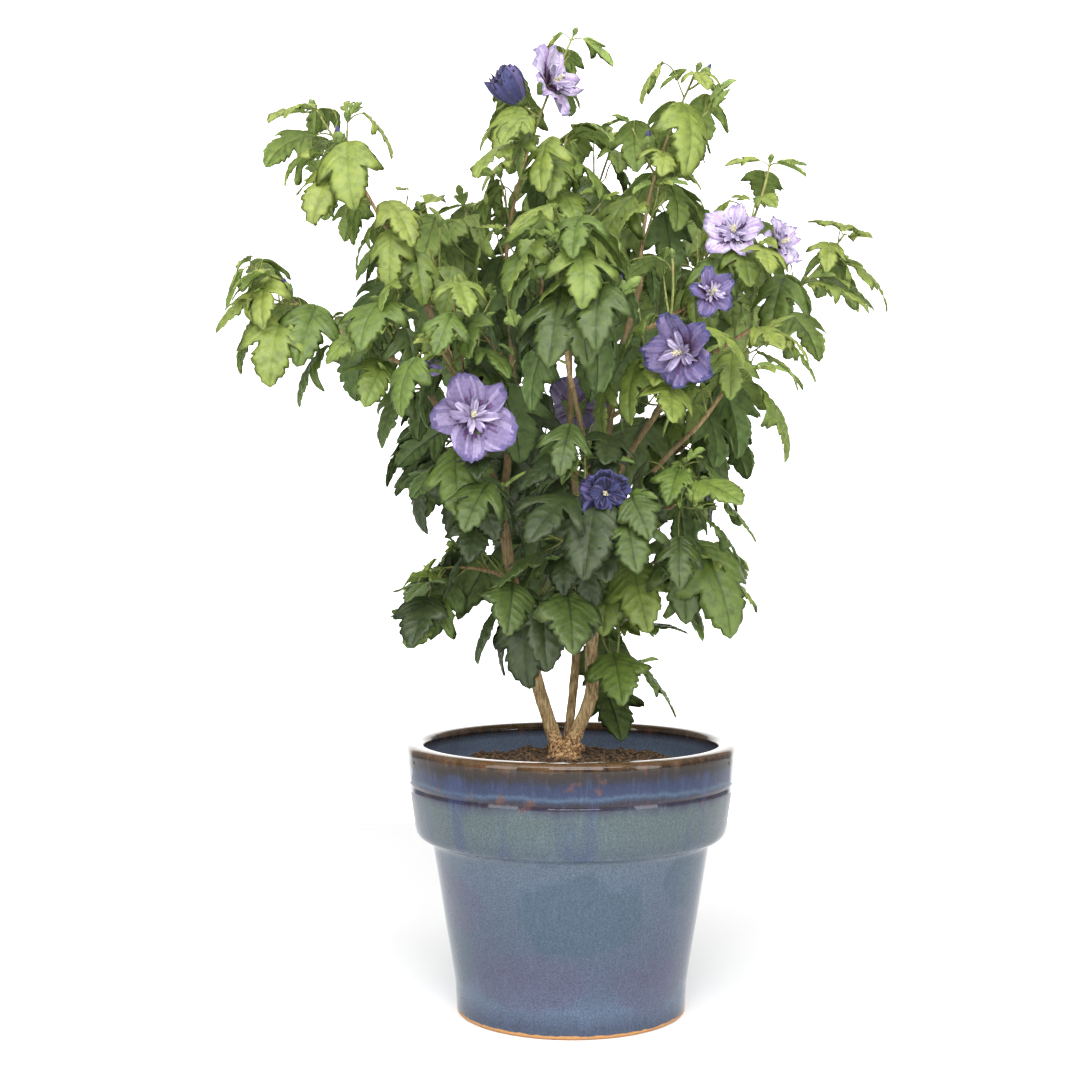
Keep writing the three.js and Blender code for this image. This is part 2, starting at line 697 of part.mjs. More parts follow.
function leafProbes(leaf) {
  const shares = [BLADE_LOBE, ...BLADE_SIDES].flatMap((share) => [share, mirrored(share)]);
  shares.push([0, 0, 0], [BLADE_CENTRE, 0, 0], BLADE_TIP);
  return [leaf.root.clone().lerp(leaf.base, 0.5), ...shares.map(leaf.at)];
}

// Whether a line between two points goes through a triangle
function crosses([from, to], [a, b, c]) {
  const way = to.clone().sub(from);
  const edgeB = b.clone().sub(a);
  const edgeC = c.clone().sub(a);
  const slant = new THREE.Vector3().crossVectors(way, edgeC);
  const scale = edgeB.dot(slant);
  if (Math.abs(scale) < 1e-9) {
    return false;
  }
  const away = from.clone().sub(a);
  const u = away.dot(slant) / scale;
  const turned = new THREE.Vector3().crossVectors(away, edgeB);
  const v = way.dot(turned) / scale;
  const reach = edgeC.dot(turned) / scale;
  return u >= 0 && v >= 0 && u + v <= 1 && reach >= 0 && reach <= 1;
}

// A leaf as the lines and the two triangles that stand for it where leaves must not cross
function leafOutline(leaf) {
  const base = leaf.at([0, 0, 0]);
  const tip = leaf.at(BLADE_TIP);
  const left = leaf.at(BLADE_LOBE);
  const right = leaf.at(mirrored(BLADE_LOBE));
  const rim = [[base, left], [left, tip], [tip, right], [right, base]];
  const lines = [[leaf.root, base], [base, tip], ...rim];
  return { lines, faces: [[base, left, tip], [base, tip, right]] };
}

function leavesCross(one, two) {
  const meets = (lines, faces) => lines.some((line) => faces.some((face) => crosses(line, face)));
  return meets(one.lines, two.faces) || meets(two.lines, one.faces);
}

function growSpray(spray) {
  const draw = seededNumbers(spray.seed);
  const vary = (amount) => (draw() * 2 - 1) * amount;
  const stalks = [{
    curve: spray.curve, thick: SPRAY_THICK, length: spray.curve.getLength(),
    first: STEM_LEAF_FIRST, sides: STEM_SIDES, steps: STEM_STEPS,
  }];
  let turn = draw() * 360;
  for (let i = 0; i < spray.twigs; i += 1) {
    const share = TWIG_FIRST + ((TWIG_LAST - TWIG_FIRST) * (i + 0.5)) / spray.twigs;
    const length = spray.reach * (1 - TWIG_SHORTER * share) * (1 + vary(TWIG_VARY));
    turn += GOLDEN_TURN;
    const twig = firstThatFits(AZIMUTH_TRIES, LENGTH_TRIES, (offset, scale) => {
      const curve = growTwig(spray.curve, share, turn + offset, length * scale);
      return inReach(curve.getPoints(6).slice(2), spray) ? curve : null;
    });
    if (twig) {
      stalks.push({
        curve: twig, thick: TWIG_THICK, length: twig.getLength(),
        first: TWIG_LEAF_FIRST, sides: TWIG_SIDES, steps: TWIG_STEPS,
      });
    }
  }
  const leaves = [];
  const stalkLines = stalks.flatMap((stalk) => {
    const points = stalk.curve.getPoints(5);
    return points.slice(1).map((point, i) => [points[i], point]);
  });
  for (const [order, stalk] of stalks.entries()) {
    const nodes = Math.max(1, Math.round((stalk.length * (1 - stalk.first)) / NODE_STEP));
    turn = draw() * 360;
    for (let i = 0; i <= nodes; i += 1) {
      const share = stalk.first + ((LEAF_LAST - stalk.first) * i) / nodes;
      const age = 1 - share * (order === 0 ? 1 : TWIG_AGE_SHARE);
      const grownShare = LEAF_YOUNG_SHARE + (1 - LEAF_YOUNG_SHARE) * Math.sqrt(age);
      const length = spray.leaf * grownShare * (1 + vary(LEAF_VARY));
      const hang = (DROOP_OLD - DROOP_YOUNG) * age ** DROOP_QUICK;
      const droop = DROOP_YOUNG + hang + vary(DROOP_VARY);
      const roll = vary(ROLL_VARY);
      turn += GOLDEN_TURN;
      const leaf = firstThatFits(AZIMUTH_TRIES, LENGTH_TRIES, (offset, scale) => {
        const grown = growLeaf(stalk, share, turn + offset, length * scale, droop, roll);
        const probes = leafProbes(grown);
        const centre = grown.at([BLADE_CENTRE, 0, 0]);
        const outline = leafOutline(grown);
        const free = leaves.every((other) => (
          other.centre.distanceTo(centre) > LEAF_CROWDING && !leavesCross(outline, other.outline)
        ));
        const fits = free && !stalkLines.some((line) => outline.faces.some((face) => crosses(line, face)))
          && inReach(probes, spray) && probes.every((point) => clearOfBlooms(point, spray));
        return fits ? { ...grown, centre, outline } : null;
      });
      if (leaf) {
        leaves.push(leaf);
      }
    }
  }
  return { stalks, leaves };
}

function firstThatFits(offsets, scales, attempt) {
  for (const scale of scales) {
    for (const offset of offsets) {
      const found = attempt(offset, scale);
      if (found) {
        return found;
      }
    }
  }
  return null;
}

// A leaf's closed mesh: a stalk that widens from its sunk root into a lobed blade, thick along the middle
function leafGeometry(leaf) {
  const { root, sunk, base, along, across, normal } = leaf;
  const edge = [
    leaf.at([0, BLADE_BASE_HALF, 0]),
    leaf.at(BLADE_LOBE),
    leaf.at(BLADE_TIP),
    leaf.at(mirrored(BLADE_LOBE)),
    leaf.at([0, -BLADE_BASE_HALF, 0]),
  ];
  const centre = leaf.at([BLADE_CENTRE, 0, 0]);
  const above = centre.clone().addScaledVector(normal, LEAF_THICK / 2);
  const below = centre.clone().addScaledVector(normal, -LEAF_THICK / 2);
  const bend = base.clone().sub(root).normalize().add(along).normalize();
  const inner = new THREE.Vector3().crossVectors(across, bend).normalize();
  const keel = base.clone().addScaledVector(inner, STALK_KEEL);
  const left = 0;
  const right = edge.length - 1;
  const top = right + 1;
  const bottom = right + 2;
  const under = right + 3;
  const deep = right + 4;
  const faces = [[left, right, top], [under, left, bottom], [right, under, bottom]];
  for (let i = left; i < right; i += 1) {
    faces.push([i + 1, i, top], [i, i + 1, bottom]);
  }
  faces.push([deep, right, left], [deep, left, under], [deep, under, right]);
  return closedGeometry([...edge, above, below, keel, sunk], faces);
}

function bloomGeometries(bloom) {
  const { centre, facing, wide, kind } = bloom;
  const [across, other] = squareTo(facing);
  const at = (ahead, radius, angle) => centre.clone()
    .addScaledVector(facing, ahead * wide)
    .addScaledVector(across, Math.cos(angle) * radius * wide)
    .addScaledVector(other, Math.sin(angle) * radius * wide);
  const ringOf = (ahead, radii, turn) => (
    radii.map((radius, i) => at(ahead, radius, turn + (i / radii.length) * Math.PI * 2))
  );
  const spindle = ([low, middle, high, radius]) => {
    const ring = ringOf(middle, Array(SPINDLE_SIDES).fill(radius), low);
    return bipyramidGeometry(ring, at(high, 0, 0), at(low, 0, 0));
  };
  if (kind === "bud") {
    return [spindle(BUD)];
  }
  if (kind === "furled") {
    return [spindle(FURLED_PETALS), spindle(FURLED_CALYX)];
  }
  const petals = Array.from({ length: 2 * PETALS }, (_, i) => (i % 2 ? PETAL_NOTCH : PETAL_TIP));
  const disc = bipyramidGeometry(ringOf(0, petals, 0), at(PETAL_FRONT, 0, 0), at(PETAL_BACK, 0, 0));
  return [disc, spindle(OPEN_COLUMN), spindle(OPEN_CALYX)];
}

function spraySolid(spray) {
  const grown = growSpray(spray);
  const solids = grown.stalks.map((stalk) => (
    toSolid(tubeGeometry(stalk.curve, limbRadius(stalk, 0), stalk.sides, stalk.steps))
  ));
  for (const leaf of grown.leaves) {
    solids.push(toSolid(leafGeometry(leaf)));
  }
  for (const bloom of spray.blooms) {
    const radius = limbRadius({ thick: STALK_THICK }, 0);
    solids.push(toSolid(tubeGeometry(bloom.stalk, radius, TWIG_SIDES, TWIG_STEPS, 0, 0, STALK_SINK)));
    solids.push(...bloomGeometries(bloom).map(toSolid));
  }
  return cutClear(wasm.Manifold.union(solids));
}

const GREENS = [0x5d8a3a, 0x6b9a42, 0x4f7a35, 0x7aa850];

SPRAYS.forEach((spray, index) => {
  addPiece(spray.name, toGeometry(spraySolid(spray)), GREENS[index % GREENS.length], 0.6);
});

export default shrub;
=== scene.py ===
import math
import random

import bpy
import numpy as np
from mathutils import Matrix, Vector, noise


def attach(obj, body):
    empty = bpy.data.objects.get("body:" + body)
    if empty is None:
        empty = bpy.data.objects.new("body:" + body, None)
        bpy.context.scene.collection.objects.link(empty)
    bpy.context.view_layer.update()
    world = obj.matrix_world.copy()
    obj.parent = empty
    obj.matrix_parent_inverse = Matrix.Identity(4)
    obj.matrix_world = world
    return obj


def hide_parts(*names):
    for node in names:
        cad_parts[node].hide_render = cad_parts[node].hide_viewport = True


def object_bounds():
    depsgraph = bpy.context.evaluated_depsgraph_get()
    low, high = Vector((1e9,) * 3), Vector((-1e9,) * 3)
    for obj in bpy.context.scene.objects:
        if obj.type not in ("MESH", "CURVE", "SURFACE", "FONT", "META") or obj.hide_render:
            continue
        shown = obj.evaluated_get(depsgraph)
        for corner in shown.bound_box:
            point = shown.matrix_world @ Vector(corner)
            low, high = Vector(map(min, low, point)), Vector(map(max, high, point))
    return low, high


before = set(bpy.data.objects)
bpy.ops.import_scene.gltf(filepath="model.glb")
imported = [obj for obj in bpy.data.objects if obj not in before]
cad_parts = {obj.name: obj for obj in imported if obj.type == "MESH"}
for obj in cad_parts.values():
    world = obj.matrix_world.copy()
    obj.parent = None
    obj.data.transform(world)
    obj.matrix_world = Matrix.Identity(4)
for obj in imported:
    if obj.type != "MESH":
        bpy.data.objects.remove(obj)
cad_low, cad_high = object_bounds()

# Camera
# A long lens at the height of the plant's middle, 1.63 m in front of the pot's axis and tipped down a little.
camera_data = bpy.data.cameras.new("plant_camera")
camera_data.lens = 59.68
camera_data.sensor_width = 36
camera = bpy.data.objects.new("plant_camera", camera_data)
camera.location = (-0.0281, -1.6285, 0.4609)
camera.rotation_euler = (math.radians(88.8), 0, 0)
bpy.context.scene.collection.objects.link(camera)
bpy.context.scene.camera = camera


# Floor and lights
# A white floor that ends behind the plant, and a bright white surround beyond it in a dimmer room, so that the
# glaze shows dark in front and white at its edges. One soft panel hangs overhead, two in front, one at each side.
def srgb(red, green, blue):
    def linear(value):
        value /= 255
        return value / 12.92 if value <= 0.04045 else ((value + 0.055) / 1.055) ** 2.4
    return (linear(red), linear(green), linear(blue), 1)


def plain_finish(name, colour, roughness, **sockets):
    material = bpy.data.materials.new(name)
    material.use_nodes = True
    shader = material.node_tree.nodes["Principled BSDF"]
    shader.inputs["Base Color"].default_value = colour
    shader.inputs["Roughness"].default_value = roughness
    for socket, value in sockets.items():
        shader.inputs[socket.replace("_", " ")].default_value = value
    return material


def mesh_piece(name, points, faces, materials, slots=None):
    mesh = bpy.data.meshes.new(name)
    mesh.from_pydata([tuple(point) for point in points], [], [tuple(face) for face in faces])
    for material in materials:
        mesh.materials.append(material)
    if slots is not None:
        mesh.polygons.foreach_set("material_index", np.asarray(slots, np.int32))
    mesh.polygons.foreach_set("use_smooth", np.full(len(mesh.polygons), True))
    mesh.update()
    piece = bpy.data.objects.new(name, mesh)
    bpy.context.scene.collection.objects.link(piece)
    return piece


def node(material, kind, inputs=(), **settings):
    """A shader node whose inputs are plain values or other nodes' outputs."""
    made = material.node_tree.nodes.new("ShaderNode" + kind)
    for setting, value in settings.items():
        setattr(made, setting, value)
    for socket, value in inputs:
        if isinstance(value, bpy.types.NodeSocket):
            material.node_tree.links.new(value, made.inputs[socket])
        else:
            made.inputs[socket].default_value = value
    return made


def level(material, source, low, high, to_low=0.0, to_high=1.0):
    """A source's range from low to high, stretched to another range."""
    return node(material, "MapRange", [
        ("Value", source), ("From Min", low), ("From Max", high), ("To Min", to_low), ("To Max", to_high),
    ]).outputs["Result"]


FLOOR_SIDE = 4
FLOOR_BACK = 0.95
FLOOR_HEIGHT = -0.0004
BACKDROP_EDGE = (0.78, 0.88)
BACKDROP_LIGHT = 2.4
ROOM_LIGHT = 0.40
floor = mesh_piece("floor", [
    (-FLOOR_SIDE, -FLOOR_SIDE, FLOOR_HEIGHT), (FLOOR_SIDE, -FLOOR_SIDE, FLOOR_HEIGHT),
    (FLOOR_SIDE, FLOOR_BACK, FLOOR_HEIGHT), (-FLOOR_SIDE, FLOOR_BACK, FLOOR_HEIGHT),
], [(0, 1, 2, 3)], [plain_finish("floor_white", (0.99, 0.99, 0.99, 1), 0.8)])

world = bpy.data.worlds.new("white_surround")
world.use_nodes = True
backward = node(world, "SeparateXYZ", [("Vector", node(world, "TexCoord").outputs["Generated"])]).outputs["Y"]
background = world.node_tree.nodes["Background"]
background.inputs["Color"].default_value = (1, 1, 1, 1)
brightness = level(world, backward, *BACKDROP_EDGE, ROOM_LIGHT, BACKDROP_LIGHT)
world.node_tree.links.new(brightness, background.inputs["Strength"])
bpy.context.scene.world = world
bpy.context.scene.view_settings.view_transform = "Standard"


def soft_panel(name, place, target, wide, tall, power):
    data = bpy.data.lights.new(name, "AREA")
    data.shape = "RECTANGLE"
    data.size = wide
    data.size_y = tall
    data.energy = power
    panel = bpy.data.objects.new(name, data)
    panel.location = place
    panel.rotation_euler = (Vector(target) - Vector(place)).to_track_quat("-Z", "Y").to_euler()
    bpy.context.scene.collection.objects.link(panel)


soft_panel("overhead_panel", (-0.2, -0.4, 2.6), (0, 0, 0.4), 2.0, 2.0, 22)
soft_panel("front_strip", (0, -1.75, 2.3), (0, 0, 0.3), 3.0, 0.55, 46)
soft_panel("front_panel", (0.1, -2.7, 1.5), (0, 0, 0.55), 1.8, 1.1, 46)
soft_panel("left_panel", (-1.9, -1.7, 1.2), (0, 0, 0.45), 1.0, 1.9, 24)
soft_panel("right_panel", (1.9, -1.5, 1.0), (0, 0, 0.4), 0.8, 1.8, 20)

# Pot
# A stoneware pot turned on a wheel: a tapered body, a thick collar with a ridge and a rolled lip.
# It is dipped in a blue glaze that breaks brown over the lip, and stands on a bare clay foot.
POT_SIDES = 144
POT_STEP = 0.0025
UNDERSIDE_RADIUS = 0.09
LIP_RADIUS = 0.1415
LIP_HALF = 0.0085
LIP_ROLL = 0.007
LIP_FLATNESS = 0.72
POT_TOP = 0.244
POT_OUTSIDE = [
    (0, 0), (0.0995, 0), (0.1025, 0.0003), (0.1037, 0.0012), (0.1041, 0.003), (0.1044, 0.012), (0.1055, 0.028),
    (0.1248, 0.1480), (0.1254, 0.1515), (0.1268, 0.1545), (0.1292, 0.1568), (0.1325, 0.1583), (0.1358, 0.1593),
    (0.1386, 0.1612), (0.1405, 0.1645), (0.1418, 0.1700), (0.1470, 0.2028), (0.1471, 0.2056), (0.1463, 0.2070),
    (0.1465, 0.2084), (0.1479, 0.2096), (0.1486, 0.2170), (0.1496, 0.2295),
]
POT_INSIDE = [
    (0.1342, 0.2295), (0.1362, 0.2210), (0.1367, 0.208), (0.1317, 0.170), (0.1150, 0.1430), (0.088, 0.015),
    (0, 0.015),
]


def squared(value):
    """Makes the lip's round roll a little flatter on top."""
    return math.copysign(abs(value) ** LIP_FLATNESS, value)


def turned_profile():
    lip = [
        (LIP_RADIUS + LIP_HALF * squared(math.cos(turn)), POT_TOP - LIP_ROLL + LIP_ROLL * squared(math.sin(turn)))
        for turn in np.linspace(-0.25, math.pi + 0.2, 23)
    ]
    corners = POT_OUTSIDE + lip + POT_INSIDE
    profile = [corners[0]]
    for start, end in zip(corners, corners[1:]):
        on_wall = min(start[0], end[0]) > UNDERSIDE_RADIUS
        pieces = max(1, round(math.dist(start, end) / POT_STEP)) if on_wall else 1
        for i in range(1, pieces + 1):
            profile.append(tuple(np.array(start) + (np.array(end) - np.array(start)) * i / pieces))
    return profile


def ring_faces(rings, sides):
    """Four-sided faces that join each ring of points to the next."""
    faces = []
    for ring in range(rings - 1):
        low = ring * sides
        for side in range(sides):
            after = (side + 1) % sides
            faces.append((low + side, low + after, low + sides + after, low + sides + side))
    return faces


def closed_rings(rings, sides):
    """Rings joined in one skin, closed at each end by a fan round a middle point that follows the rings."""
    faces = ring_faces(rings, sides)
    middle, last = rings * sides, (rings - 1) * sides
    for side in range(sides):
        after = (side + 1) % sides
        faces.append((middle, after, side))
        faces.append((middle + 1, last + side, last + after))
    return faces


def lathe(profile, sides, wobble):
    points = []
    for radius, height in profile[1:-1]:
        for side in range(sides):
            turn = side / sides * math.tau
            place = Vector((math.cos(turn) * 2.2, math.sin(turn) * 2.2, height * 30))
            uneven = radius * (1 + wobble * noise.noise(place))
            points.append((uneven * math.cos(turn), uneven * math.sin(turn), height))
    points += [(0, 0, profile[0][1]), (0, 0, profile[-1][1])]
    return points, closed_rings(len(profile) - 2, sides)


def ramp(material, source, stops):
    made = node(material, "ValToRGB", [("Fac", source)])
    while len(made.color_ramp.elements) < len(stops):
        made.color_ramp.elements.new(0.5)
    for element, (place, colour) in zip(made.color_ramp.elements, stops):
        element.position = place
        element.color = colour
    return made.outputs["Color"]


def mottle(material, place, scale, detail=2.0, rough=0.5):
    inputs = [("Vector", place), ("Scale", scale), ("Detail", detail), ("Roughness", rough)]
    return node(material, "TexNoise", inputs).outputs["Fac"]


def stretched(material, place, upright):
    """The place with its height scaled, so that a mottle drawn on it runs up and down."""
    return node(material, "Mapping", [("Vector", place), ("Scale", (1, 1, upright))]).outputs["Vector"]


def reckon(material, operation, *terms):
    return node(material, "Math", enumerate(terms), operation=operation).outputs[0]


def blend_colours(material, share, first, second, mode="MIX"):
    inputs = [(0, share), (6, first), (7, second)]
    return node(material, "Mix", inputs, data_type="RGBA", blend_type=mode).outputs[2]


def feed(material, source, socket):
    """Leads a node's output into the material's shader."""
    material.node_tree.links.new(source, material.node_tree.nodes["Principled BSDF"].inputs[socket])


def relief(material, height, strength, distance):
    bump = node(material, "Bump", [("Height", height), ("Strength", strength), ("Distance", distance)])
    feed(material, bump.outputs["Normal"], "Normal")


def own_place(material):
    return node(material, "TexCoord").outputs["Object"]


def pooled(material, place, centre, size, wobble):
    """1 inside a pool of thick glaze round a centre, and 0 beyond its wavering edge."""
    away = node(material, "VectorMath", [(0, place), (1, centre)], operation="SUBTRACT").outputs["Vector"]
    scaled = node(material, "VectorMath", [(0, away), (1, size)], operation="DIVIDE").outputs["Vector"]
    reach = node(material, "VectorMath", [(0, scaled)], operation="LENGTH").outputs["Value"]
    return level(material, reckon(material, "ADD", reach, wobble), 0.88, 1.04, 1, 0)


THICK_POOLS = [
    ((0.004, -0.118, 0.108), (0.058, 0.060, 0.036)), ((0.104, -0.072, 0.133), (0.033, 0.050, 0.030)),
    ((-0.112, -0.030, 0.060), (0.040, 0.050, 0.032)), ((-0.085, 0.080, 0.118), (0.050, 0.050, 0.028)),
    ((0.020, 0.118, 0.075), (0.055, 0.050, 0.034)), ((0.108, 0.040, 0.070), (0.040, 0.045, 0.036)),
]
VIOLET_POOLS = [
    ((-0.040, -0.100, 0.048), (0.056, 0.060, 0.026)), ((-0.100, -0.050, 0.112), (0.034, 0.050, 0.030)),
    ((0.070, -0.085, 0.040), (0.036, 0.050, 0.026)), ((-0.060, 0.100, 0.050), (0.060, 0.050, 0.030)),
    ((0.090, 0.085, 0.116), (0.040, 0.050, 0.030)),
]


GLAZE_ROUGH = 0.05
CLAY_ROUGH = 0.8
GLAZE_SPAN = 0.25
RIDGE_LINE = 0.211
COLLAR_FOOT = (0.150, 0.160)
LIP_EDGE = (0.226, 0.232)
RUST_FROM = (0.192, 0.210)
INNER_WALL = (0.1368, 0.1378)
INNER_FOOT = (0.17, 0.18)
INNER_BROWN = (0.2300, 0.2375)
BARE_FOOT = (0.0029, 0.0036)


def glaze():
    """Blue glaze that changes colour with height and runs, with two painted highlight bands, pools, rust specks, a
    blue inside, a bare foot.
    """
    made = plain_finish("blue_glaze", srgb(90, 106, 132), GLAZE_ROUGH, IOR=1.45)
    place = own_place(made)
    height = node(made, "SeparateXYZ", [("Vector", place)]).outputs["Z"]
    runny = stretched(made, place, 0.14)
    runs = mottle(made, runny, 120, 3)
    from_line = reckon(made, "ABSOLUTE", reckon(made, "SUBTRACT", height, RIDGE_LINE))
    free = level(made, from_line, 0.004, 0.016, 0.3, 1)
    swing = reckon(made, "MULTIPLY", level(made, runs, 0.3, 0.7, -0.0025, 0.0025), free)
    drift = level(made, mottle(made, place, 16, 1), 0.3, 0.7, -0.0018, 0.0018)
    wavy = reckon(made, "ADD", reckon(made, "ADD", swing, height), drift)
    # Two lighter stops in this ramp are painted highlights: 0.615 along the ledge under the collar, and 0.856 a thin
    # line above the ridge that is partly the glaze's own paler colour and partly painted highlight.
    mixed = ramp(made, level(made, wavy, 0, GLAZE_SPAN), [
        (0.03, srgb(58, 68, 88)), (0.09, srgb(75, 89, 110)), (0.20, srgb(66, 74, 94)), (0.36, srgb(66, 77, 95)),
        (0.55, srgb(73, 86, 103)), (0.615, srgb(81, 94, 108)), (0.66, srgb(66, 78, 87)),
        (0.72, srgb(71, 84, 88)), (0.785, srgb(70, 83, 86)), (0.806, srgb(58, 68, 79)), (0.820, srgb(47, 44, 58)),
        (0.834, srgb(38, 29, 40)), (0.845, srgb(39, 48, 70)), (0.856, srgb(58, 77, 99)),
        (0.868, srgb(32, 44, 74)), (0.895, srgb(24, 35, 65)), (0.910, srgb(24, 26, 43)),
        (0.924, srgb(26, 17, 18)), (0.948, srgb(39, 26, 16)), (0.972, srgb(86, 64, 41)),
    ])
    wobble = level(made, mottle(made, place, 26, 4, 0.6), 0.25, 0.75, -0.30, 0.30)
    for pools, strength, colour in ((VIOLET_POOLS, 0.5, srgb(72, 72, 94)), (THICK_POOLS, 0.75, srgb(56, 74, 90))):
        for centre, size in pools:
            share = level(made, pooled(made, place, centre, size, wobble), 0, 1, 0, strength)
            mixed = blend_colours(made, share, mixed, colour)
    patchy = level(made, mottle(made, runny, 34, 2), 0.52, 0.66, 0, 0.45)
    on_collar = reckon(made, "MULTIPLY", level(made, height, *COLLAR_FOOT), level(made, height, *LIP_EDGE, 1, 0))
    mixed = blend_colours(made, reckon(made, "MULTIPLY", patchy, on_collar), mixed, srgb(44, 58, 96))
    lit = level(made, mottle(made, runny, 300, 3, 0.6), 0.52, 0.72, 0, 0.09)
    mixed = blend_colours(made, lit, mixed, srgb(112, 132, 152))
    rust = level(made, mottle(made, place, 60, 3), 0.62, 0.70)
    rusty = reckon(made, "MULTIPLY", rust, level(made, height, *RUST_FROM))
    mixed = blend_colours(made, level(made, rusty, 0, 1, 0, 0.5), mixed, srgb(98, 60, 38))
    radius = node(made, "VectorMath", [(0, stretched(made, place, 0))], operation="LENGTH").outputs["Value"]
    inner = reckon(made, "MULTIPLY", level(made, radius, *INNER_WALL, 1, 0), level(made, height, *INNER_FOOT))
    within = reckon(made, "MULTIPLY", inner, level(made, height, *INNER_BROWN, 0.9, 0))
    mixed = blend_colours(made, within, mixed, srgb(112, 126, 148))
    grain = level(made, mottle(made, place, 700, 3, 0.75), 0.34, 0.68, 0.66, 1.36)
    grain_colour = node(made, "CombineColor", [("Red", grain), ("Green", grain), ("Blue", grain)]).outputs["Color"]
    mixed = blend_colours(made, 1.0, mixed, grain_colour, "MULTIPLY")
    uneven_foot = reckon(made, "ADD", height, level(made, runs, 0.3, 0.7, -0.0006, 0.0006))
    foot = level(made, uneven_foot, *BARE_FOOT)
    mixed = blend_colours(made, foot, srgb(186, 136, 84), mixed)
    feed(made, mixed, "Base Color")
    feed(made, level(made, foot, 0, 1, CLAY_ROUGH, GLAZE_ROUGH), "Roughness")
    relief(made, mottle(made, place, 60, 3), 0.07, 0.004)
    return made


pot = mesh_piece("pot_body", *lathe(turned_profile(), POT_SIDES, 0.0022), [glaze()])
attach(pot, "root")
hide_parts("pot")

# Potting soil
# Dark, coarse potting mix heaped a little round the trunk, loose on top, with crumbs and chips of bark.
SOIL_SEAT = 0.034
SOIL_TOP = 0.230
SOIL_EDGE = 0.1358
SOIL_RINGS = 46
SOIL_SIDES = 150
CRUMBS = 1300
FIBRES = 420
CHIP_SHARE = 0.10
GRIT_SHARE = 0.015
STUMP_RADIUS = 0.019
SOIL_LUMP = 0.0042
SOIL_GRAIN = 0.0016
SOIL_SETTLE = 0.0012
SOIL_HEIGHTS = [(0, SOIL_TOP), (SOIL_SEAT, SOIL_TOP), (0.096, 0.224), (SOIL_EDGE, 0.212)]
SOIL_WALL = [(SOIL_EDGE, 0.208), (0.1308, 0.170), (0.1138, 0.1430), (0.0872, 0.0155)]
SURFACE, CRUMB, CHIP, GRIT, FIBRE = range(5)


class Heap:
    """Points and faces of many small closed shapes that are joined in one piece."""

    def __init__(self):
        self.points = []
        self.faces = []
        self.slots = []
        self.count = 0

    def add(self, points, faces, slot):
        self.points.append(np.asarray(points, float))
        self.faces.extend(tuple(self.count + corner for corner in face) for face in faces)
        self.slots.extend([slot] * len(faces) if isinstance(slot, int) else slot)
        self.count += len(points)

    def piece(self, name, materials, scale=0.001):
        return mesh_piece(name, np.concatenate(self.points) * scale, self.faces, materials, self.slots)


def soil_height(radius, turn):
    slope = np.interp(radius, *zip(*SOIL_HEIGHTS))
    place = Vector((radius * math.cos(turn), radius * math.sin(turn), 0))
    rough = SOIL_LUMP * noise.fractal(place * 42, 1.0, 2.0, 4) + SOIL_GRAIN * noise.noise(place * 260)
    calmer_by_trunk = min(1, radius / SOIL_SEAT) * 0.8 + 0.2
    return slope - SOIL_SETTLE + rough * calmer_by_trunk


def soil_surface():
    points = []
    for ring in range(1, SOIL_RINGS + 1):
        radius = SOIL_EDGE * ring / SOIL_RINGS
        for side in range(SOIL_SIDES):
            turn = side / SOIL_SIDES * math.tau
            points.append((radius * math.cos(turn), radius * math.sin(turn), soil_height(radius, turn)))
    for radius, height in SOIL_WALL:
        for side in range(SOIL_SIDES):
            turn = side / SOIL_SIDES * math.tau
            points.append((radius * math.cos(turn), radius * math.sin(turn), height))
    points += [(0, 0, soil_height(0, 0)), (0, 0, SOIL_WALL[-1][1])]
    faces = closed_rings(SOIL_RINGS + len(SOIL_WALL), SOIL_SIDES)
    return points, [face[:1] + face[:0:-1] for face in faces]


def ball():
    golden = (1 + 5 ** 0.5) / 2
    corners = []
    for a in (-1, 1):
        for b in (-golden, golden):
            corners += [(0, a, b), (a, b, 0), (b, 0, a)]
    corners = np.array(corners) / math.hypot(1, golden)
    faces = []
    for i in range(12):
        for j in range(i + 1, 12):
            for k in range(j + 1, 12):
                trio = corners[[i, j, k]]
                sides = [np.linalg.norm(trio[a] - trio[b]) for a, b in ((0, 1), (1, 2), (0, 2))]
                if max(sides) < 1.2:
                    outward = np.dot(np.cross(trio[1] - trio[0], trio[2] - trio[0]), trio.sum(0)) > 0
                    faces.append((i, j, k) if outward else (i, k, j))
    return corners, faces


BALL_POINTS, BALL_FACES = ball()


def turned_chip(shape, lean, spin):
    tipped = np.column_stack([
        shape[:, 0] * math.cos(lean) - shape[:, 2] * math.sin(lean), shape[:, 1],
        shape[:, 0] * math.sin(lean) + shape[:, 2] * math.cos(lean)])
    return np.column_stack([
        tipped[:, 0] * math.cos(spin) - tipped[:, 1] * math.sin(spin),
        tipped[:, 0] * math.sin(spin) + tipped[:, 1] * math.cos(spin), tipped[:, 2]])


def tube_faces(rings, sides):
    count = rings * sides
    ends = [tuple(range(sides - 1, -1, -1)), tuple(range(count - sides, count))]
    return ring_faces(rings, sides) + ends


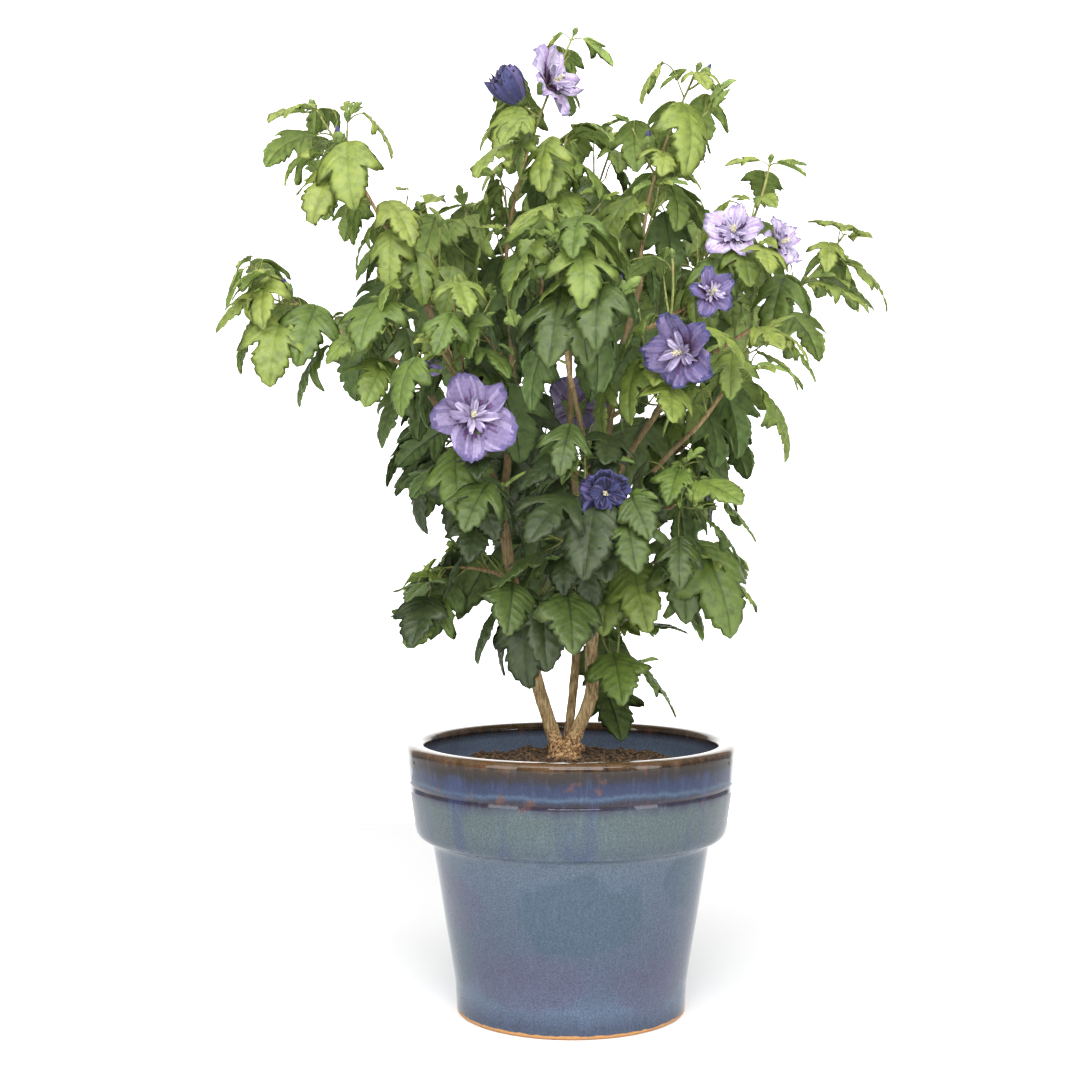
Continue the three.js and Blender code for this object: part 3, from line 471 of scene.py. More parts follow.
def scatter_crumbs(heap):
    """Crumbs, some bark chips and a little pale grit, and then fibres, all lying loose on the soil."""
    draw = random.Random(71)
    for _ in range(CRUMBS):
        radius = SOIL_EDGE * 0.985 * math.sqrt(draw.random())
        turn = draw.uniform(0, math.tau)
        if radius < STUMP_RADIUS:
            continue
        kind = draw.random()
        size = draw.uniform(0.0010, 0.0032)
        stretch, slot = np.array([draw.uniform(0.8, 1.4), 1, 0.75]), CRUMB
        if kind < CHIP_SHARE:
            stretch, slot = np.array([draw.uniform(1.6, 2.6), 1, 0.4]), CHIP
        elif kind < CHIP_SHARE + GRIT_SHARE:
            stretch, slot, size = np.array([1, 0.9, 0.8]), GRIT, draw.uniform(0.0010, 0.0017)
        stretch *= size
        stretch[0] = min(stretch[0], (SOIL_EDGE - radius) * 0.9 + 0.0008)
        shape = BALL_POINTS * stretch * np.array([[1 + draw.uniform(-0.26, 0.26)] for _ in range(12)])
        centre = (radius * math.cos(turn), radius * math.sin(turn), soil_height(radius, turn) + size * 0.3)
        heap.add(turned_chip(shape, draw.uniform(-0.6, 0.6), draw.uniform(0, math.tau)) + centre, BALL_FACES, slot)
    for _ in range(FIBRES):
        radius = SOIL_EDGE * 0.93 * math.sqrt(draw.random())
        turn = draw.uniform(0, math.tau)
        if radius < STUMP_RADIUS:
            continue
        half = min(draw.uniform(0.003, 0.008), (SOIL_EDGE - radius) * 0.8)
        shares = np.linspace(-1, 1, 5)
        bow = draw.uniform(-0.35, 0.35)
        arch = 1 - shares ** 2
        line = np.column_stack([shares * half, bow * half * arch, draw.uniform(0, 0.3) * half * arch])
        centre = (radius * math.cos(turn), radius * math.sin(turn), soil_height(radius, turn) + 0.0007)
        line = turned_chip(line, draw.uniform(-0.45, 0.45), draw.uniform(0, math.tau)) + centre
        thick = draw.uniform(0.00022, 0.0005)
        points = []
        for share, place in zip(shares, line):
            for corner in range(3):
                around = corner / 3 * math.tau
                width = thick * (1.1 - 0.7 * share ** 2)
                points.append(place + np.array((0, math.cos(around), math.sin(around))) * width)
        heap.add(points, tube_faces(len(shares), 3), FIBRE if draw.random() < 0.6 else CHIP)


def blend_of(first, second, share):
    return tuple(a + (b - a) * share for a, b in zip(first, second))


def soil_finish(name, dark, light, scale):
    made = plain_finish(name, dark, 0.95, Specular_IOR_Level=0.2)
    place = own_place(made)
    grains = mottle(made, place, scale, 4, 0.7)
    stops = [(0.35, dark), (0.5, blend_of(dark, light, 0.3)), (0.66, light)]
    feed(made, ramp(made, grains, stops), "Base Color")
    relief(made, mottle(made, place, scale * 1.7, 4, 0.7), 0.9, 0.002)
    return made


loose_soil = Heap()
loose_soil.add(*soil_surface(), SURFACE)
scatter_crumbs(loose_soil)
soil = loose_soil.piece("potting_soil", [
    soil_finish("soil_dark", srgb(40, 31, 26), srgb(122, 102, 80), 300),
    soil_finish("soil_crumb", srgb(54, 42, 34), srgb(142, 118, 92), 420),
    soil_finish("bark_chip", srgb(96, 66, 46), srgb(162, 124, 90), 260),
    soil_finish("pale_grain", srgb(206, 198, 182), srgb(232, 228, 218), 300),
    soil_finish("soil_fibre", srgb(118, 92, 64), srgb(176, 146, 108), 300),
], 1)
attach(soil, "root")
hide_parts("soil")

# Trunk, stems and boughs
# Three woody stems leave one flared stump at the soil, and each forks into tapering boughs.
# The bark is thin, tan and finely ridged lengthwise, with rings at old leaf scars and orange patches.
SOIL_LINE = 230
FORK_SHARE = 0.13
FLARE = 9
FLARE_HEIGHT = 20
TRUNK_SINK = 12
STEMS = [
    ("stem_left", (-9, -1, 230), (-43, -9, 345), (-64, -16, 463), (13.2, 9.4)),
    ("stem_right", (-3, -2, 230), (21, -2, 352), (28, -14, 484), (13.2, 9)),
    ("stem_back", (-5, 6, 230), (8, 30, 380), (0, 50, 520), (8.6, 6.4)),
]
BOUGHS = [
    ("bough_upper_left", "stem_left", 1, (-99, -28, 560), (-133, -38, 647), (8.8, 5.8)),
    ("bough_top", "stem_left", 0.95, (-54, 6, 552), (-56, 12, 640), (7.6, 5.2)),
    ("bough_left", "stem_left", 0.84, (-112, -22, 535), (-159, -22, 589), (6.8, 4.6)),
    ("bough_centre", "bough_top", 0.4, (-38, -22, 575), (-28, -26, 624), (5, 4.2)),
    ("bough_right", "stem_right", 1, (41, -12, 572), (63, -6, 659), (8.4, 5.6)),
    ("bough_far_right", "stem_right", 0.93, (86, 6, 552), (134, 20, 600), (6.4, 4.6)),
    ("bough_low_right", "stem_right", 0.78, (66, -30, 480), (105, -42, 522), (5.6, 4.2)),
    ("bough_front", "stem_right", 0.86, (14, -54, 500), (0, -90, 560), (5.6, 4.2)),
    ("bough_back", "stem_back", 1, (0, 58, 580), (0, 72, 640), (6.6, 4.6)),
    ("bough_back_left", "stem_back", 0.85, (-28, 78, 530), (-62, 104, 600), (5.6, 4.2)),
    ("bough_back_right", "stem_back", 0.72, (36, 74, 505), (72, 110, 590), (5.6, 4.2)),
]
BARK_VOXEL = 0.00105
SCAR_RISE = 0.35
SCAR_STEP = 26
FLARE_SHARE = 0.85
BARK_RIDGE = 0.00022
BARK_LUMP = 0.00030
CORK_ROUGH = 0.00085
CORK_HEIGHT = 0.030
ELBOW_HEIGHT = 284
ELBOW_REACH = 30
ELBOW_STEP = 8
SWELLINGS = [
    ((5.6, 5.6, 4.4), (20.5, -3, 284)), ((7.2, 6.2, 5.4), (-10.5, -6, 239)), ((6.6, 6.6, 5.8), (7.5, -6, 238)),
]


def curve_through(start, middle, end):
    start, middle, end = (np.array(point, float) for point in (start, middle, end))
    return np.array([start, 2 * middle - (start + end) / 2, end])


def along_curve(curve, share):
    t = np.asarray(share, float)[..., None]
    return (1 - t) ** 2 * curve[0] + 2 * (1 - t) * t * curve[1] + t ** 2 * curve[2]


def heading_of(curve, share):
    way = along_curve(curve, min(1, share + 1e-4)) - along_curve(curve, max(0, share - 1e-4))
    return way / np.linalg.norm(way)


def square_to(direction):
    across = np.cross(direction, (0, 1, 0))
    if np.linalg.norm(across) < 0.2:
        across = np.cross(direction, (1, 0, 0))
    across = across / np.linalg.norm(across)
    return across, np.cross(direction, across)


def spoke(around, turn):
    """A direction square to an axis, from the two that square_to gives for it."""
    return around[0] * math.cos(turn) + around[1] * math.sin(turn)


def tube(line, radii, sides):
    line = np.asarray(line, float)
    ways = np.gradient(line, axis=0)
    ways /= np.linalg.norm(ways, axis=1)[:, None]
    across = square_to(ways[0])[0]
    turns = np.arange(sides) / sides * math.tau
    rings = []
    for centre, way, radius in zip(line, ways, radii):
        across = across - way * np.dot(across, way)
        across /= np.linalg.norm(across)
        other = np.cross(way, across)
        rings.append(centre + radius * (np.cos(turns)[:, None] * across + np.sin(turns)[:, None] * other))
    return np.concatenate(rings), tube_faces(len(line), sides)


limbs = {}
limb_samples = []
wood = Heap()


def with_elbow(name, line):
    """The right stem steps aside at an old cut above the soil."""
    if name == "stem_right":
        line = line.copy()
        line[:, 0] += ELBOW_STEP * np.exp(-((line[:, 2] - ELBOW_HEIGHT) / ELBOW_REACH) ** 2)
    return line


def add_limb(name, curve, thick):
    limbs[name] = curve
    shares = np.linspace(0, 1, 31)
    widths = thick[0] + (thick[1] - thick[0]) * shares
    limb_samples.append(np.column_stack([along_curve(curve, shares), widths / 2]))
    shares = np.linspace(0, 1, 60)
    line = with_elbow(name, along_curve(curve, shares))
    widths = thick[0] + (thick[1] - thick[0]) * shares
    run = np.linalg.norm(np.gradient(line, axis=0), axis=1).cumsum()
    scars = SCAR_RISE * np.exp(-((run + len(limbs) * 7) % SCAR_STEP - SCAR_STEP / 2) ** 2 / 6)
    wood.add(*tube(line, widths / 2 + scars, 20), 0)


for name, start, middle, end, thick in STEMS:
    curve = curve_through(start, middle, end)
    add_limb(name, curve, thick)
    slim = (thick[0] + (thick[1] - thick[0]) * FORK_SHARE) / 2
    foot = np.array(start) - heading_of(curve, 0) * TRUNK_SINK
    stump = np.array([foot, along_curve(curve, FORK_SHARE / 3), along_curve(curve, FORK_SHARE)])
    shares = np.linspace(0, 1, 24)
    line = with_elbow(name, along_curve(stump, shares))
    heights = np.clip(1 - (line[:, 2] - SOIL_LINE) / FLARE_HEIGHT, 0, 1.25)
    wood.add(*tube(line, slim + FLARE * heights ** 2 * FLARE_SHARE, 22), 0)
for size, place in SWELLINGS:
    wood.add(BALL_POINTS * size + place, BALL_FACES, 0)
for name, parent, share, middle, end, thick in BOUGHS:
    add_limb(name, curve_through(along_curve(limbs[parent], share), middle, end), thick)
limb_samples = np.concatenate(limb_samples)


def grown_together(piece, voxel, rounds):
    merge = piece.modifiers.new("merge", "REMESH")
    merge.mode = "VOXEL"
    merge.voxel_size = voxel
    settle = piece.modifiers.new("settle", "SMOOTH")
    settle.factor = 0.5
    settle.iterations = rounds
    bpy.context.view_layer.update()
    merged = bpy.data.meshes.new_from_object(piece.evaluated_get(bpy.context.evaluated_depsgraph_get()))
    piece.modifiers.clear()
    piece.data = merged
    merged.polygons.foreach_set("use_smooth", np.full(len(merged.polygons), True))


def bark_finish():
    made = plain_finish("tan_bark", srgb(176, 152, 116), 0.75, Specular_IOR_Level=0.3)
    place = own_place(made)
    streaks = mottle(made, stretched(made, place, 0.2), 460, 4, 0.65)
    colour = ramp(made, streaks, [
        (0.30, srgb(84, 64, 42)), (0.42, srgb(138, 114, 78)), (0.54, srgb(172, 148, 106)),
        (0.70, srgb(210, 188, 146)),
    ])
    orange = level(made, mottle(made, place, 38, 2), 0.56, 0.70, 0, 0.4)
    colour = blend_colours(made, orange, colour, srgb(202, 146, 94))
    grey = level(made, mottle(made, place, 90, 3), 0.58, 0.7, 0, 0.5)
    colour = blend_colours(made, grey, colour, srgb(132, 116, 86))
    height = node(made, "SeparateXYZ", [("Vector", place)]).outputs["Z"]
    # Higher up, among the leaves, the bark darkens to grey-brown: partly its own colour there, partly painted shade
    # from the crown.
    colour = blend_colours(made, level(made, height, 0.30, 0.46, 0, 0.75), colour, srgb(98, 84, 58))
    corky = ramp(made, mottle(made, place, 420, 4, 0.7), [
        (0.38, srgb(54, 36, 26)), (0.48, srgb(128, 92, 60)), (0.58, srgb(190, 156, 108)), (0.7, srgb(216, 190, 148)),
    ])
    wavy = reckon(made, "ADD", height, level(made, streaks, 0.3, 0.7, -0.008, 0.008))
    colour = blend_colours(made, level(made, wavy, 0.246, 0.262, 1, 0), colour, corky)
    feed(made, colour, "Base Color")
    relief(made, streaks, 0.7, 0.0012)
    return made


def ridge_bark(piece):
    """Fine ridges lengthwise, lumps, and rough cork that fades out above the soil."""
    mesh = piece.data
    places, outward = np.empty((2, len(mesh.vertices) * 3))
    mesh.vertices.foreach_get("co", places)
    mesh.vertices.foreach_get("normal", outward)
    places, outward = places.reshape(-1, 3), outward.reshape(-1, 3)
    moves = []
    for place in places:
        ridge = noise.fractal(Vector((place[0] * 330, place[1] * 330, place[2] * 70)), 0.9, 2.0, 3)
        lump = noise.noise(Vector(place * 90))
        above = place[2] - SOIL_TOP
        cork = noise.fractal(Vector(place * 300), 0.8, 2.0, 3) * max(0, 1 - above / CORK_HEIGHT)
        moves.append(BARK_RIDGE * ridge + BARK_LUMP * lump + CORK_ROUGH * cork)
    places += outward * np.array(moves)[:, None]
    mesh.vertices.foreach_set("co", places.ravel())
    mesh.update()


bark = wood.piece("woody_limbs", [bark_finish()])
grown_together(bark, BARK_VOXEL, 2)
ridge_bark(bark)
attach(bark, "root")
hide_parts("trunk", *limbs)

# Leafy shoots
# This year's shoots grow on from the limbs, each in its own space, with side twigs set on a spiral.
# They are thin and pliable: buff bark on the older part, green and downy at the growing tips.

# Each spray: the limb it grows on and how far along, its middle and tip, its twigs and their reach, its leaves'
# length, its seed, the seed and tries of its finer growth, its painted sun (0 painted shade to 5 painted sun), and
# its blooms.
# The seeds and tries were picked by trial, as the ones that fill the crown's outline best from the front.
SPRAYS = [
    ("spray_top", "bough_top", 1, (-50, 12, 742), (2, 4, 884), 4, 50, 68, 4040,
     (7040, 15, 26), 4.6, [
        ("pale", (-13, -14, 840), (0.75, -0.55, 0.35), 66), ("furled", (-52, 0, 832), (-0.62, -0.3, 0.72), 30)]),
    ("spray_upper_left", "bough_upper_left", 1, (-182, -44, 735), (-226, -44, 808), 3, 46, 70, 3376,
     (5376, 4, 5), 4.2, [
        ("bud", (-203, -56, 778), (-0.2, -0.4, 0.9), 17)]),
    ("spray_far_left", "bough_left", 1, (-228, -26, 626), (-284, -26, 672), 2, 36, 73, 2053,
     (5053, 4, 5), 3.8, [
        ("bud", (-252, -36, 650), (-0.3, -0.3, 0.9), 15)]),
    ("spray_left_shoulder", "bough_left", 0.66, (-136, -66, 572), (-160, -92, 612), 3, 46, 77, 1873,
     (5873, 15, 26), 2.4, []),
    ("spray_mid_left", "bough_upper_left", 0.62, (-118, 2, 650), (-138, 14, 728), 4, 56, 75, 1950,
     (2950, 9, 16), 2.9, []),
    ("spray_front_left", "bough_upper_left", 0.3, (-92, -76, 560), (-104, -100, 650), 4, 60, 82, 1560,
     (1560, 15, 26), 2.2, [
        ("open", (-84, -128, 534), (0.12, -0.95, 0.2), 74),
        ("furled", (-120, -118, 574), (-0.85, -0.45, -0.1), 24)]),
    ("spray_left_inner", "stem_left", 0.84, (-82, -56, 448), (-92, -78, 490), 3, 46, 82, 2351,
     (7351, 9, 16), 1.2, []),
    ("spray_centre", "bough_centre", 1, (-22, -40, 700), (-4, -34, 786), 4, 62, 77, 1190,
     (3190, 9, 16), 2.6, []),
    ("spray_front", "bough_front", 1, (-6, -118, 612), (4, -122, 690), 4, 58, 84, 3039,
     (3039, 15, 26), 1.6, [
        ("bud", (36, -146, 640), (0.3, -0.4, 0.8), 16)]),
    ("spray_low_front", "bough_front", 0.42, (12, -84, 452), (10, -112, 500), 4, 54, 84, 2515,
     (2515, 15, 26), 0.9, [
        ("furled", (27, -132, 468), (0.1, -0.98, -0.1), 40)]),
    ("spray_upper_right", "bough_right", 1, (74, 0, 748), (114, 2, 852), 4, 56, 70, 2124,
     (4124, 4, 5), 3.9, [
        ("bud", (120, -10, 846), (0.5, -0.2, 0.8), 15), ("bud", (70, -18, 780), (-0.1, -0.3, 0.95), 20)]),
    ("spray_right", "bough_right", 0.72, (132, -36, 664), (176, -34, 762), 4, 50, 68, 1272,
     (4272, 4, 5), 3.3, [
        ("pale", (140, -66, 698), (-0.25, -0.9, 0.35), 52), ("pale", (186, -50, 690), (0.7, -0.6, 0.35), 48),
        ("deep", (120, -88, 642), (0.3, -0.92, 0.2), 46)]),
    ("spray_far_right", "bough_far_right", 1, (200, 24, 648), (252, 22, 708), 3, 40, 68, 2945,
     (4945, 4, 5), 3.6, []),
    ("spray_front_right", "bough_right", 0.3, (76, -74, 586), (84, -106, 668), 4, 56, 82, 1924,
     (2924, 9, 16), 3.2, [
        ("deep", (88, -130, 586), (-0.55, -0.8, -0.1), 64)]),
    ("spray_right_low", "bough_low_right", 1, (134, -50, 560), (158, -52, 612), 3, 46, 77, 1037,
     (2037, 4, 5), 4.2, []),
    ("spray_right_inner", "bough_low_right", 0.45, (84, -64, 456), (98, -92, 482), 3, 46, 82, 681,
     (681, 15, 26), 1.8, []),
    ("spray_base_right", "stem_right", 0.5, (72, -22, 406), (124, -26, 416), 2, 34, 87, 1654,
     (2654, 4, 5), 3.4, []),
    ("spray_foot_right", "stem_right", 0.3, (36, 2, 308), (44, 4, 344), 2, 30, 73, 599,
     (1599, 4, 5), 1.8, []),
    ("spray_low_left", "stem_left", 0.7, (-86, -26, 402), (-116, -34, 402), 2, 34, 82, 1181,
     (3181, 4, 5), 1.6, []),
    ("spray_foot_front", "stem_left", 0.5, (-34, -44, 368), (-12, -66, 406), 3, 40, 82, 2008,
     (6008, 15, 26), 0.8, []),
    ("spray_back_top", "bough_back", 1, (14, 92, 716), (40, 98, 800), 4, 66, 80, 1071,
     (4071, 9, 16), 2.4, []),
    ("spray_back_left", "bough_back_left", 1, (-104, 142, 662), (-136, 160, 742), 4, 66, 82, 981,
     (4981, 15, 26), 2.2, [
        ("open", (-122, 196, 668), (-0.3, 0.9, 0.3), 66)]),
    ("spray_back_right", "bough_back_right", 1, (116, 150, 652), (146, 168, 736), 4, 66, 82, 3109,
     (8109, 15, 26), 3.0, []),
    ("spray_back_low_left", "bough_back_left", 0.45, (-84, 84, 500), (-128, 106, 548), 4, 56, 84, 2690,
     (4690, 15, 26), 1.3, []),
    ("spray_back_low_right", "bough_back_right", 0.5, (98, 96, 506), (138, 112, 556), 4, 56, 84, 1614,
     (5614, 15, 26), 2.4, []),
    ("spray_back_low", "stem_back", 0.6, (4, 108, 448), (-4, 146, 516), 4, 60, 87, 2180,
     (7180, 15, 26), 0.9, [
        ("open", (8, 196, 560), (0.1, 0.95, 0.3), 70)]),
]
GOLDEN_TURN = 137.5
STEM_STEPS = 4
TWIG_STEPS = 2
SPRAY_THICK = (4.6, 3.4)
TWIG_THICK = (2.4, 2.2)
TWIG_SPREAD = 52
TWIG_FIRST = 0.12
TWIG_LAST = 0.8
TWIG_LIFT = 0.22
TWIG_TAPER = 0.4
TWIG_VARY = 0.15
NODE_STEP = 25
STEM_LEAF_FIRST = 0.12
TWIG_LEAF_FIRST = 0.34
LEAF_LAST = 0.94
PETIOLE_SPREAD = 56
PETIOLE_SHARE = 0.32
LEAF_YOUNG_SHARE = 0.5
LEAF_VARY = 0.14
DROOP_YOUNG = -16
DROOP_OLD = 64
DROOP_QUICK = 0.35
DROOP_VARY = 18
ROLL_VARY = 28
LEAF_CROWDING = 22
FINE_CROWDING = 12
SPACE_MARGIN = 2.6
LIMB_MARGIN = 3
SOIL_MARGIN = 6
BLOOM_BACK = 0.2
BLOOM_ROOM = 0.48
BLOOM_VIEW = 90
TRIES = [(scale, offset) for scale in (1, 0.78) for offset in (0, 45, -45, 90, -90)]
BLADE_LOBE = (0.5, 0.44, -0.1)
BLADE_TIP = (1, 0, -0.16)
BLADE_CENTRE = (0.4, 0, 0)
UP = np.array((0, 0, 1.0))
BOX_LOW = np.array(cad_low) * 1000 + 2
BOX_HIGH = np.array(cad_high) * 1000 + (-2, -2, 7)
SPUR_LOWEST = 345
TUFT_LEAVES = 3


def seeded_numbers(seed):
    """The same row of numbers as the solids are grown from, so that these leaves stand where theirs do."""
    state = seed & 0xffffffff

    def draw():
        nonlocal state
        state = (state + 0x6d2b79f5) & 0xffffffff
        mixed = (state ^ (state >> 15)) * (state | 1) & 0xffffffff
        mixed ^= (mixed + ((mixed ^ (mixed >> 7)) * (mixed | 61) & 0xffffffff)) & 0xffffffff
        return (mixed ^ (mixed >> 14)) / 4294967296
    return draw


def within_box(points):
    return bool((points > BOX_LOW).all() and (points < BOX_HIGH).all())


def unit(way):
    way = np.array(way, float)
    return way / np.linalg.norm(way)


def point_on_tube(curve, steps, share):
    low = min(steps - 1, math.floor(share * steps))
    start, end = along_curve(curve, low / steps), along_curve(curve, (low + 1) / steps)
    return start + (end - start) * (share * steps - low)


def curve_length(curve):
    return np.linalg.norm(np.diff(along_curve(curve, np.linspace(0, 1, 201)), axis=0), axis=1).sum()


def beside_curve(curve, share, azimuth, spread):
    along = heading_of(curve, share)
    lean = math.radians(spread)
    return spoke(square_to(along), math.radians(azimuth)) * math.sin(lean) + along * math.cos(lean)


def grow_twig(curve, share, azimuth, length):
    start = point_on_tube(curve, STEM_STEPS, share)
    tip = start + beside_curve(curve, share, azimuth, TWIG_SPREAD) * length + UP * length * TWIG_LIFT
    return curve_through(start, (start + tip) / 2 - UP * length * TWIG_LIFT * 0.3, tip)


class Leaf:
    """A leaf's stalk and the directions of its blade."""

    def __init__(self, root, side, length, droop, roll):
        self.root, self.length = root, length
        self.base = root + side * length * PETIOLE_SHARE
        heading = np.array((side[0], side[1], 0))
        if np.linalg.norm(heading) < 0.05:
            heading = np.array((1.0, 0, 0))
        heading = unit(heading)
        down, turn = math.radians(droop), math.radians(roll)
        self.along = heading * math.cos(down) - UP * math.sin(down)
        upright = heading * math.sin(down) + UP * math.cos(down)
        self.normal = upright * math.cos(turn) + np.cross(self.along, upright) * math.sin(turn)
        self.across = np.cross(self.normal, self.along)
        self.centre = self.at(BLADE_CENTRE)
        left, right = self.at(BLADE_LOBE), self.at((BLADE_LOBE[0], -BLADE_LOBE[1], BLADE_LOBE[2]))
        base, tip = self.base, self.at(BLADE_TIP)
        self.lines = np.array([(root, base), (base, tip), (base, left), (left, tip), (tip, right), (right, base)])
        self.faces = np.array([(base, left, tip), (base, tip, right)])

    def at(self, place):
        ahead, aside, raised = (share * self.length for share in place)
        return self.base + self.along * ahead + self.across * aside + self.normal * raised

    def probes(self):
        places = [BLADE_LOBE, (0.25, 0.26, -0.04), (0.75, 0.22, -0.12)]
        places += [(ahead, -aside, raised) for ahead, aside, raised in places]
        places += [(0, 0, 0), BLADE_CENTRE, BLADE_TIP]
        return np.array([(self.root + self.base) / 2] + [self.at(place) for place in places])


def crosses(lines, faces):
    """Whether any of these straight lines passes through any of these three-cornered faces."""
    way = (lines[:, 1] - lines[:, 0])[:, None]
    edge_b, edge_c = (faces[:, 1] - faces[:, 0])[None], (faces[:, 2] - faces[:, 0])[None]
    slant = np.cross(way, edge_c)
    scale = (edge_b * slant).sum(-1)
    scale = np.where(np.abs(scale) < 1e-9, np.nan, scale)
    away = lines[:, 0][:, None] - faces[:, 0][None]
    turned = np.cross(away, edge_b)
    u, v, reach = (away * slant).sum(-1) / scale, (way * turned).sum(-1) / scale, (edge_c * turned).sum(-1) / scale
    return bool(((u >= 0) & (v >= 0) & (u + v <= 1) & (reach >= 0) & (reach <= 1)).any())


class Bloom:
    """A bud, a furled flower or an open one of pale, middle or deep colour: its centre, facing, width and stalk."""

    def __init__(self, stem, kind, centre, face, wide):
        self.kind, self.centre, self.facing, self.wide = kind, np.array(centre, float), unit(face), wide
        back = self.centre - self.facing * wide * (0.5 if kind in ("bud", "furled") else 0.3)
        roots = np.array([point_on_tube(stem, STEM_STEPS, i / 25) for i in range(4, 24)])
        root = roots[np.linalg.norm(roots - back, axis=1).argmin()]
        self.stalk = curve_through(root, root + (back - root) * 0.6 - self.facing * wide * 0.1, back)


class Shoot:
    """A stem or twig that carries leaves."""

    def __init__(self, curve, thick, first, steps):
        self.curve, self.thick, self.first, self.steps = curve, thick, first, steps
        self.length = curve_length(curve)


class Spray:
    """The stem, blooms and space of one spray, and what has grown in it."""

    def __init__(self, name, parent, share, middle, tip, twigs, reach, leaf, seed, finer, painted_sun, blooms):
        self.name, self.twigs, self.reach, self.leaf, self.seed = name, twigs, reach, leaf, seed
        self.finer, self.painted_sun = finer, painted_sun
        self.on, self.on_share = parent, share
        self.curve = curve_through(along_curve(limbs[parent], share), middle, tip)
        self.blooms = [Bloom(self.curve, *bloom) for bloom in blooms]
        bones = [along_curve(self.curve, np.arange(1, 11) / 10)]
        for bloom in self.blooms:
            bones += [bloom.centre[None], along_curve(bloom.stalk, np.arange(1, 4) / 3)]
        self.bones = np.concatenate(bones)
        self.shoots = []
        self.leaves = []
        self.fine_twigs = []
        self.tufts = []

    def in_reach(self, points, margin=SPACE_MARGIN):
        """Whether points lie above the soil, nearer this spray's bones than others', and clear of the limbs."""
        if points[:, 2].min() <= SOIL_LINE + SOIL_MARGIN:
            return False
        own = ((points[:, None] - self.bones[None]) ** 2).sum(-1)
        near, nearest = own.min(1), self.bones[own.argmin(1)]
        far = ((points[:, None] - self.others[None]) ** 2).sum(-1)
        between = np.linalg.norm(self.others[None] - nearest[:, None], axis=-1)
        if ((far - near[:, None]) / (2 * between)).min() <= margin:
            return False
        away = np.linalg.norm(points[:, None] - limb_samples[None, :, :3], axis=-1)
        return bool((away > limb_samples[None, :, 3] + LIMB_MARGIN).all())

    def clear_of_blooms(self, points):
        for bloom in self.blooms:
            away = points - bloom.centre
            ahead = away @ bloom.facing
            aside = np.sqrt(np.maximum(0, (away ** 2).sum(1) - ahead ** 2))
            clear = (ahead < -bloom.wide * BLOOM_BACK) | (ahead > BLOOM_VIEW) | (aside > bloom.wide * BLOOM_ROOM)
            if not clear.all():
                return False
        return True

    def fits(self, leaf, crowding):
        for other in self.leaves:
            gap = np.linalg.norm(other.centre - leaf.centre)
            if gap <= crowding:
                return False
            if gap < 1.3 * (other.length + leaf.length) and (
                    crosses(leaf.lines, other.faces) or crosses(other.lines, leaf.faces)):
                return False
        if crosses(self.shoot_lines, leaf.faces):
            return False
        probes = leaf.probes()
        return self.in_reach(probes) and self.clear_of_blooms(probes)

    def grow(self):
        draw = seeded_numbers(self.seed)

        def vary(amount):
            return (draw() * 2 - 1) * amount
        self.shoots = [Shoot(self.curve, SPRAY_THICK, STEM_LEAF_FIRST, STEM_STEPS)]
        turn = draw() * 360
        for i in range(self.twigs):
            share = TWIG_FIRST + (TWIG_LAST - TWIG_FIRST) * (i + 0.5) / self.twigs
            length = self.reach * (1 - TWIG_TAPER * share) * (1 + vary(TWIG_VARY))
            turn += GOLDEN_TURN
            for scale, offset in TRIES:
                twig = grow_twig(self.curve, share, turn + offset, length * scale)
                if self.in_reach(along_curve(twig, np.arange(2, 7) / 6)):
                    self.shoots.append(Shoot(twig, TWIG_THICK, TWIG_LEAF_FIRST, TWIG_STEPS))
                    break
        lines = [along_curve(shoot.curve, np.arange(6) / 5) for shoot in self.shoots]
        self.shoot_lines = np.concatenate([np.stack([line[:-1], line[1:]], 1) for line in lines])
        for order, shoot in enumerate(self.shoots):
            nodes = max(1, math.floor(shoot.length * (1 - shoot.first) / NODE_STEP + 0.5))
            turn = draw() * 360
            for i in range(nodes + 1):
                share = shoot.first + (LEAF_LAST - shoot.first) * i / nodes
                age = 1 - share * (1 if order == 0 else 0.75)
                grown = LEAF_YOUNG_SHARE + (1 - LEAF_YOUNG_SHARE) * math.sqrt(age)
                length = self.leaf * grown * (1 + vary(LEAF_VARY))
                droop = DROOP_YOUNG + (DROOP_OLD - DROOP_YOUNG) * age ** DROOP_QUICK + vary(DROOP_VARY)
                roll = vary(ROLL_VARY)
                turn += GOLDEN_TURN
                for scale, offset in TRIES:
                    side = beside_curve(shoot.curve, share, turn + offset, PETIOLE_SPREAD)
                    root = point_on_tube(shoot.curve, shoot.steps, share)
                    leaf = Leaf(root, side, length * scale, droop, roll)
                    if self.fits(leaf, LEAF_CROWDING):
                        leaf.age = age
                        self.leaves.append(leaf)
                        break

    def add_finer(self, draw, curve, share, lengths, sizes, checked):
        """One short twig with a leaf at its end, kept if it has room."""
        azimuth, length = draw.uniform(0, 360), draw.uniform(*lengths)
        start = along_curve(curve, share)
        tip = start + beside_curve(curve, share, azimuth, TWIG_SPREAD) * length + UP * length * 0.2
        twig = curve_through(start, (start + tip) / 2 - UP * length * 0.05, tip)
        age, size = draw.uniform(0.1, 0.8), self.leaf * draw.uniform(*sizes)
        side = beside_curve(twig, 0.98, draw.uniform(-60, 60), 30)
        droop = DROOP_YOUNG + (DROOP_OLD - DROOP_YOUNG) * age ** DROOP_QUICK + draw.uniform(-DROOP_VARY, DROOP_VARY)
        leaf = Leaf(tip, side, size, droop, draw.uniform(-ROLL_VARY, ROLL_VARY))
        if start[2] > SPUR_LOWEST and self.in_reach(along_curve(twig, checked)) and (
                within_box(leaf.probes()) and self.fits(leaf, FINE_CROWDING)):
            leaf.age = age * 0.8
            self.leaves.append(leaf)
            self.fine_twigs.append(twig)

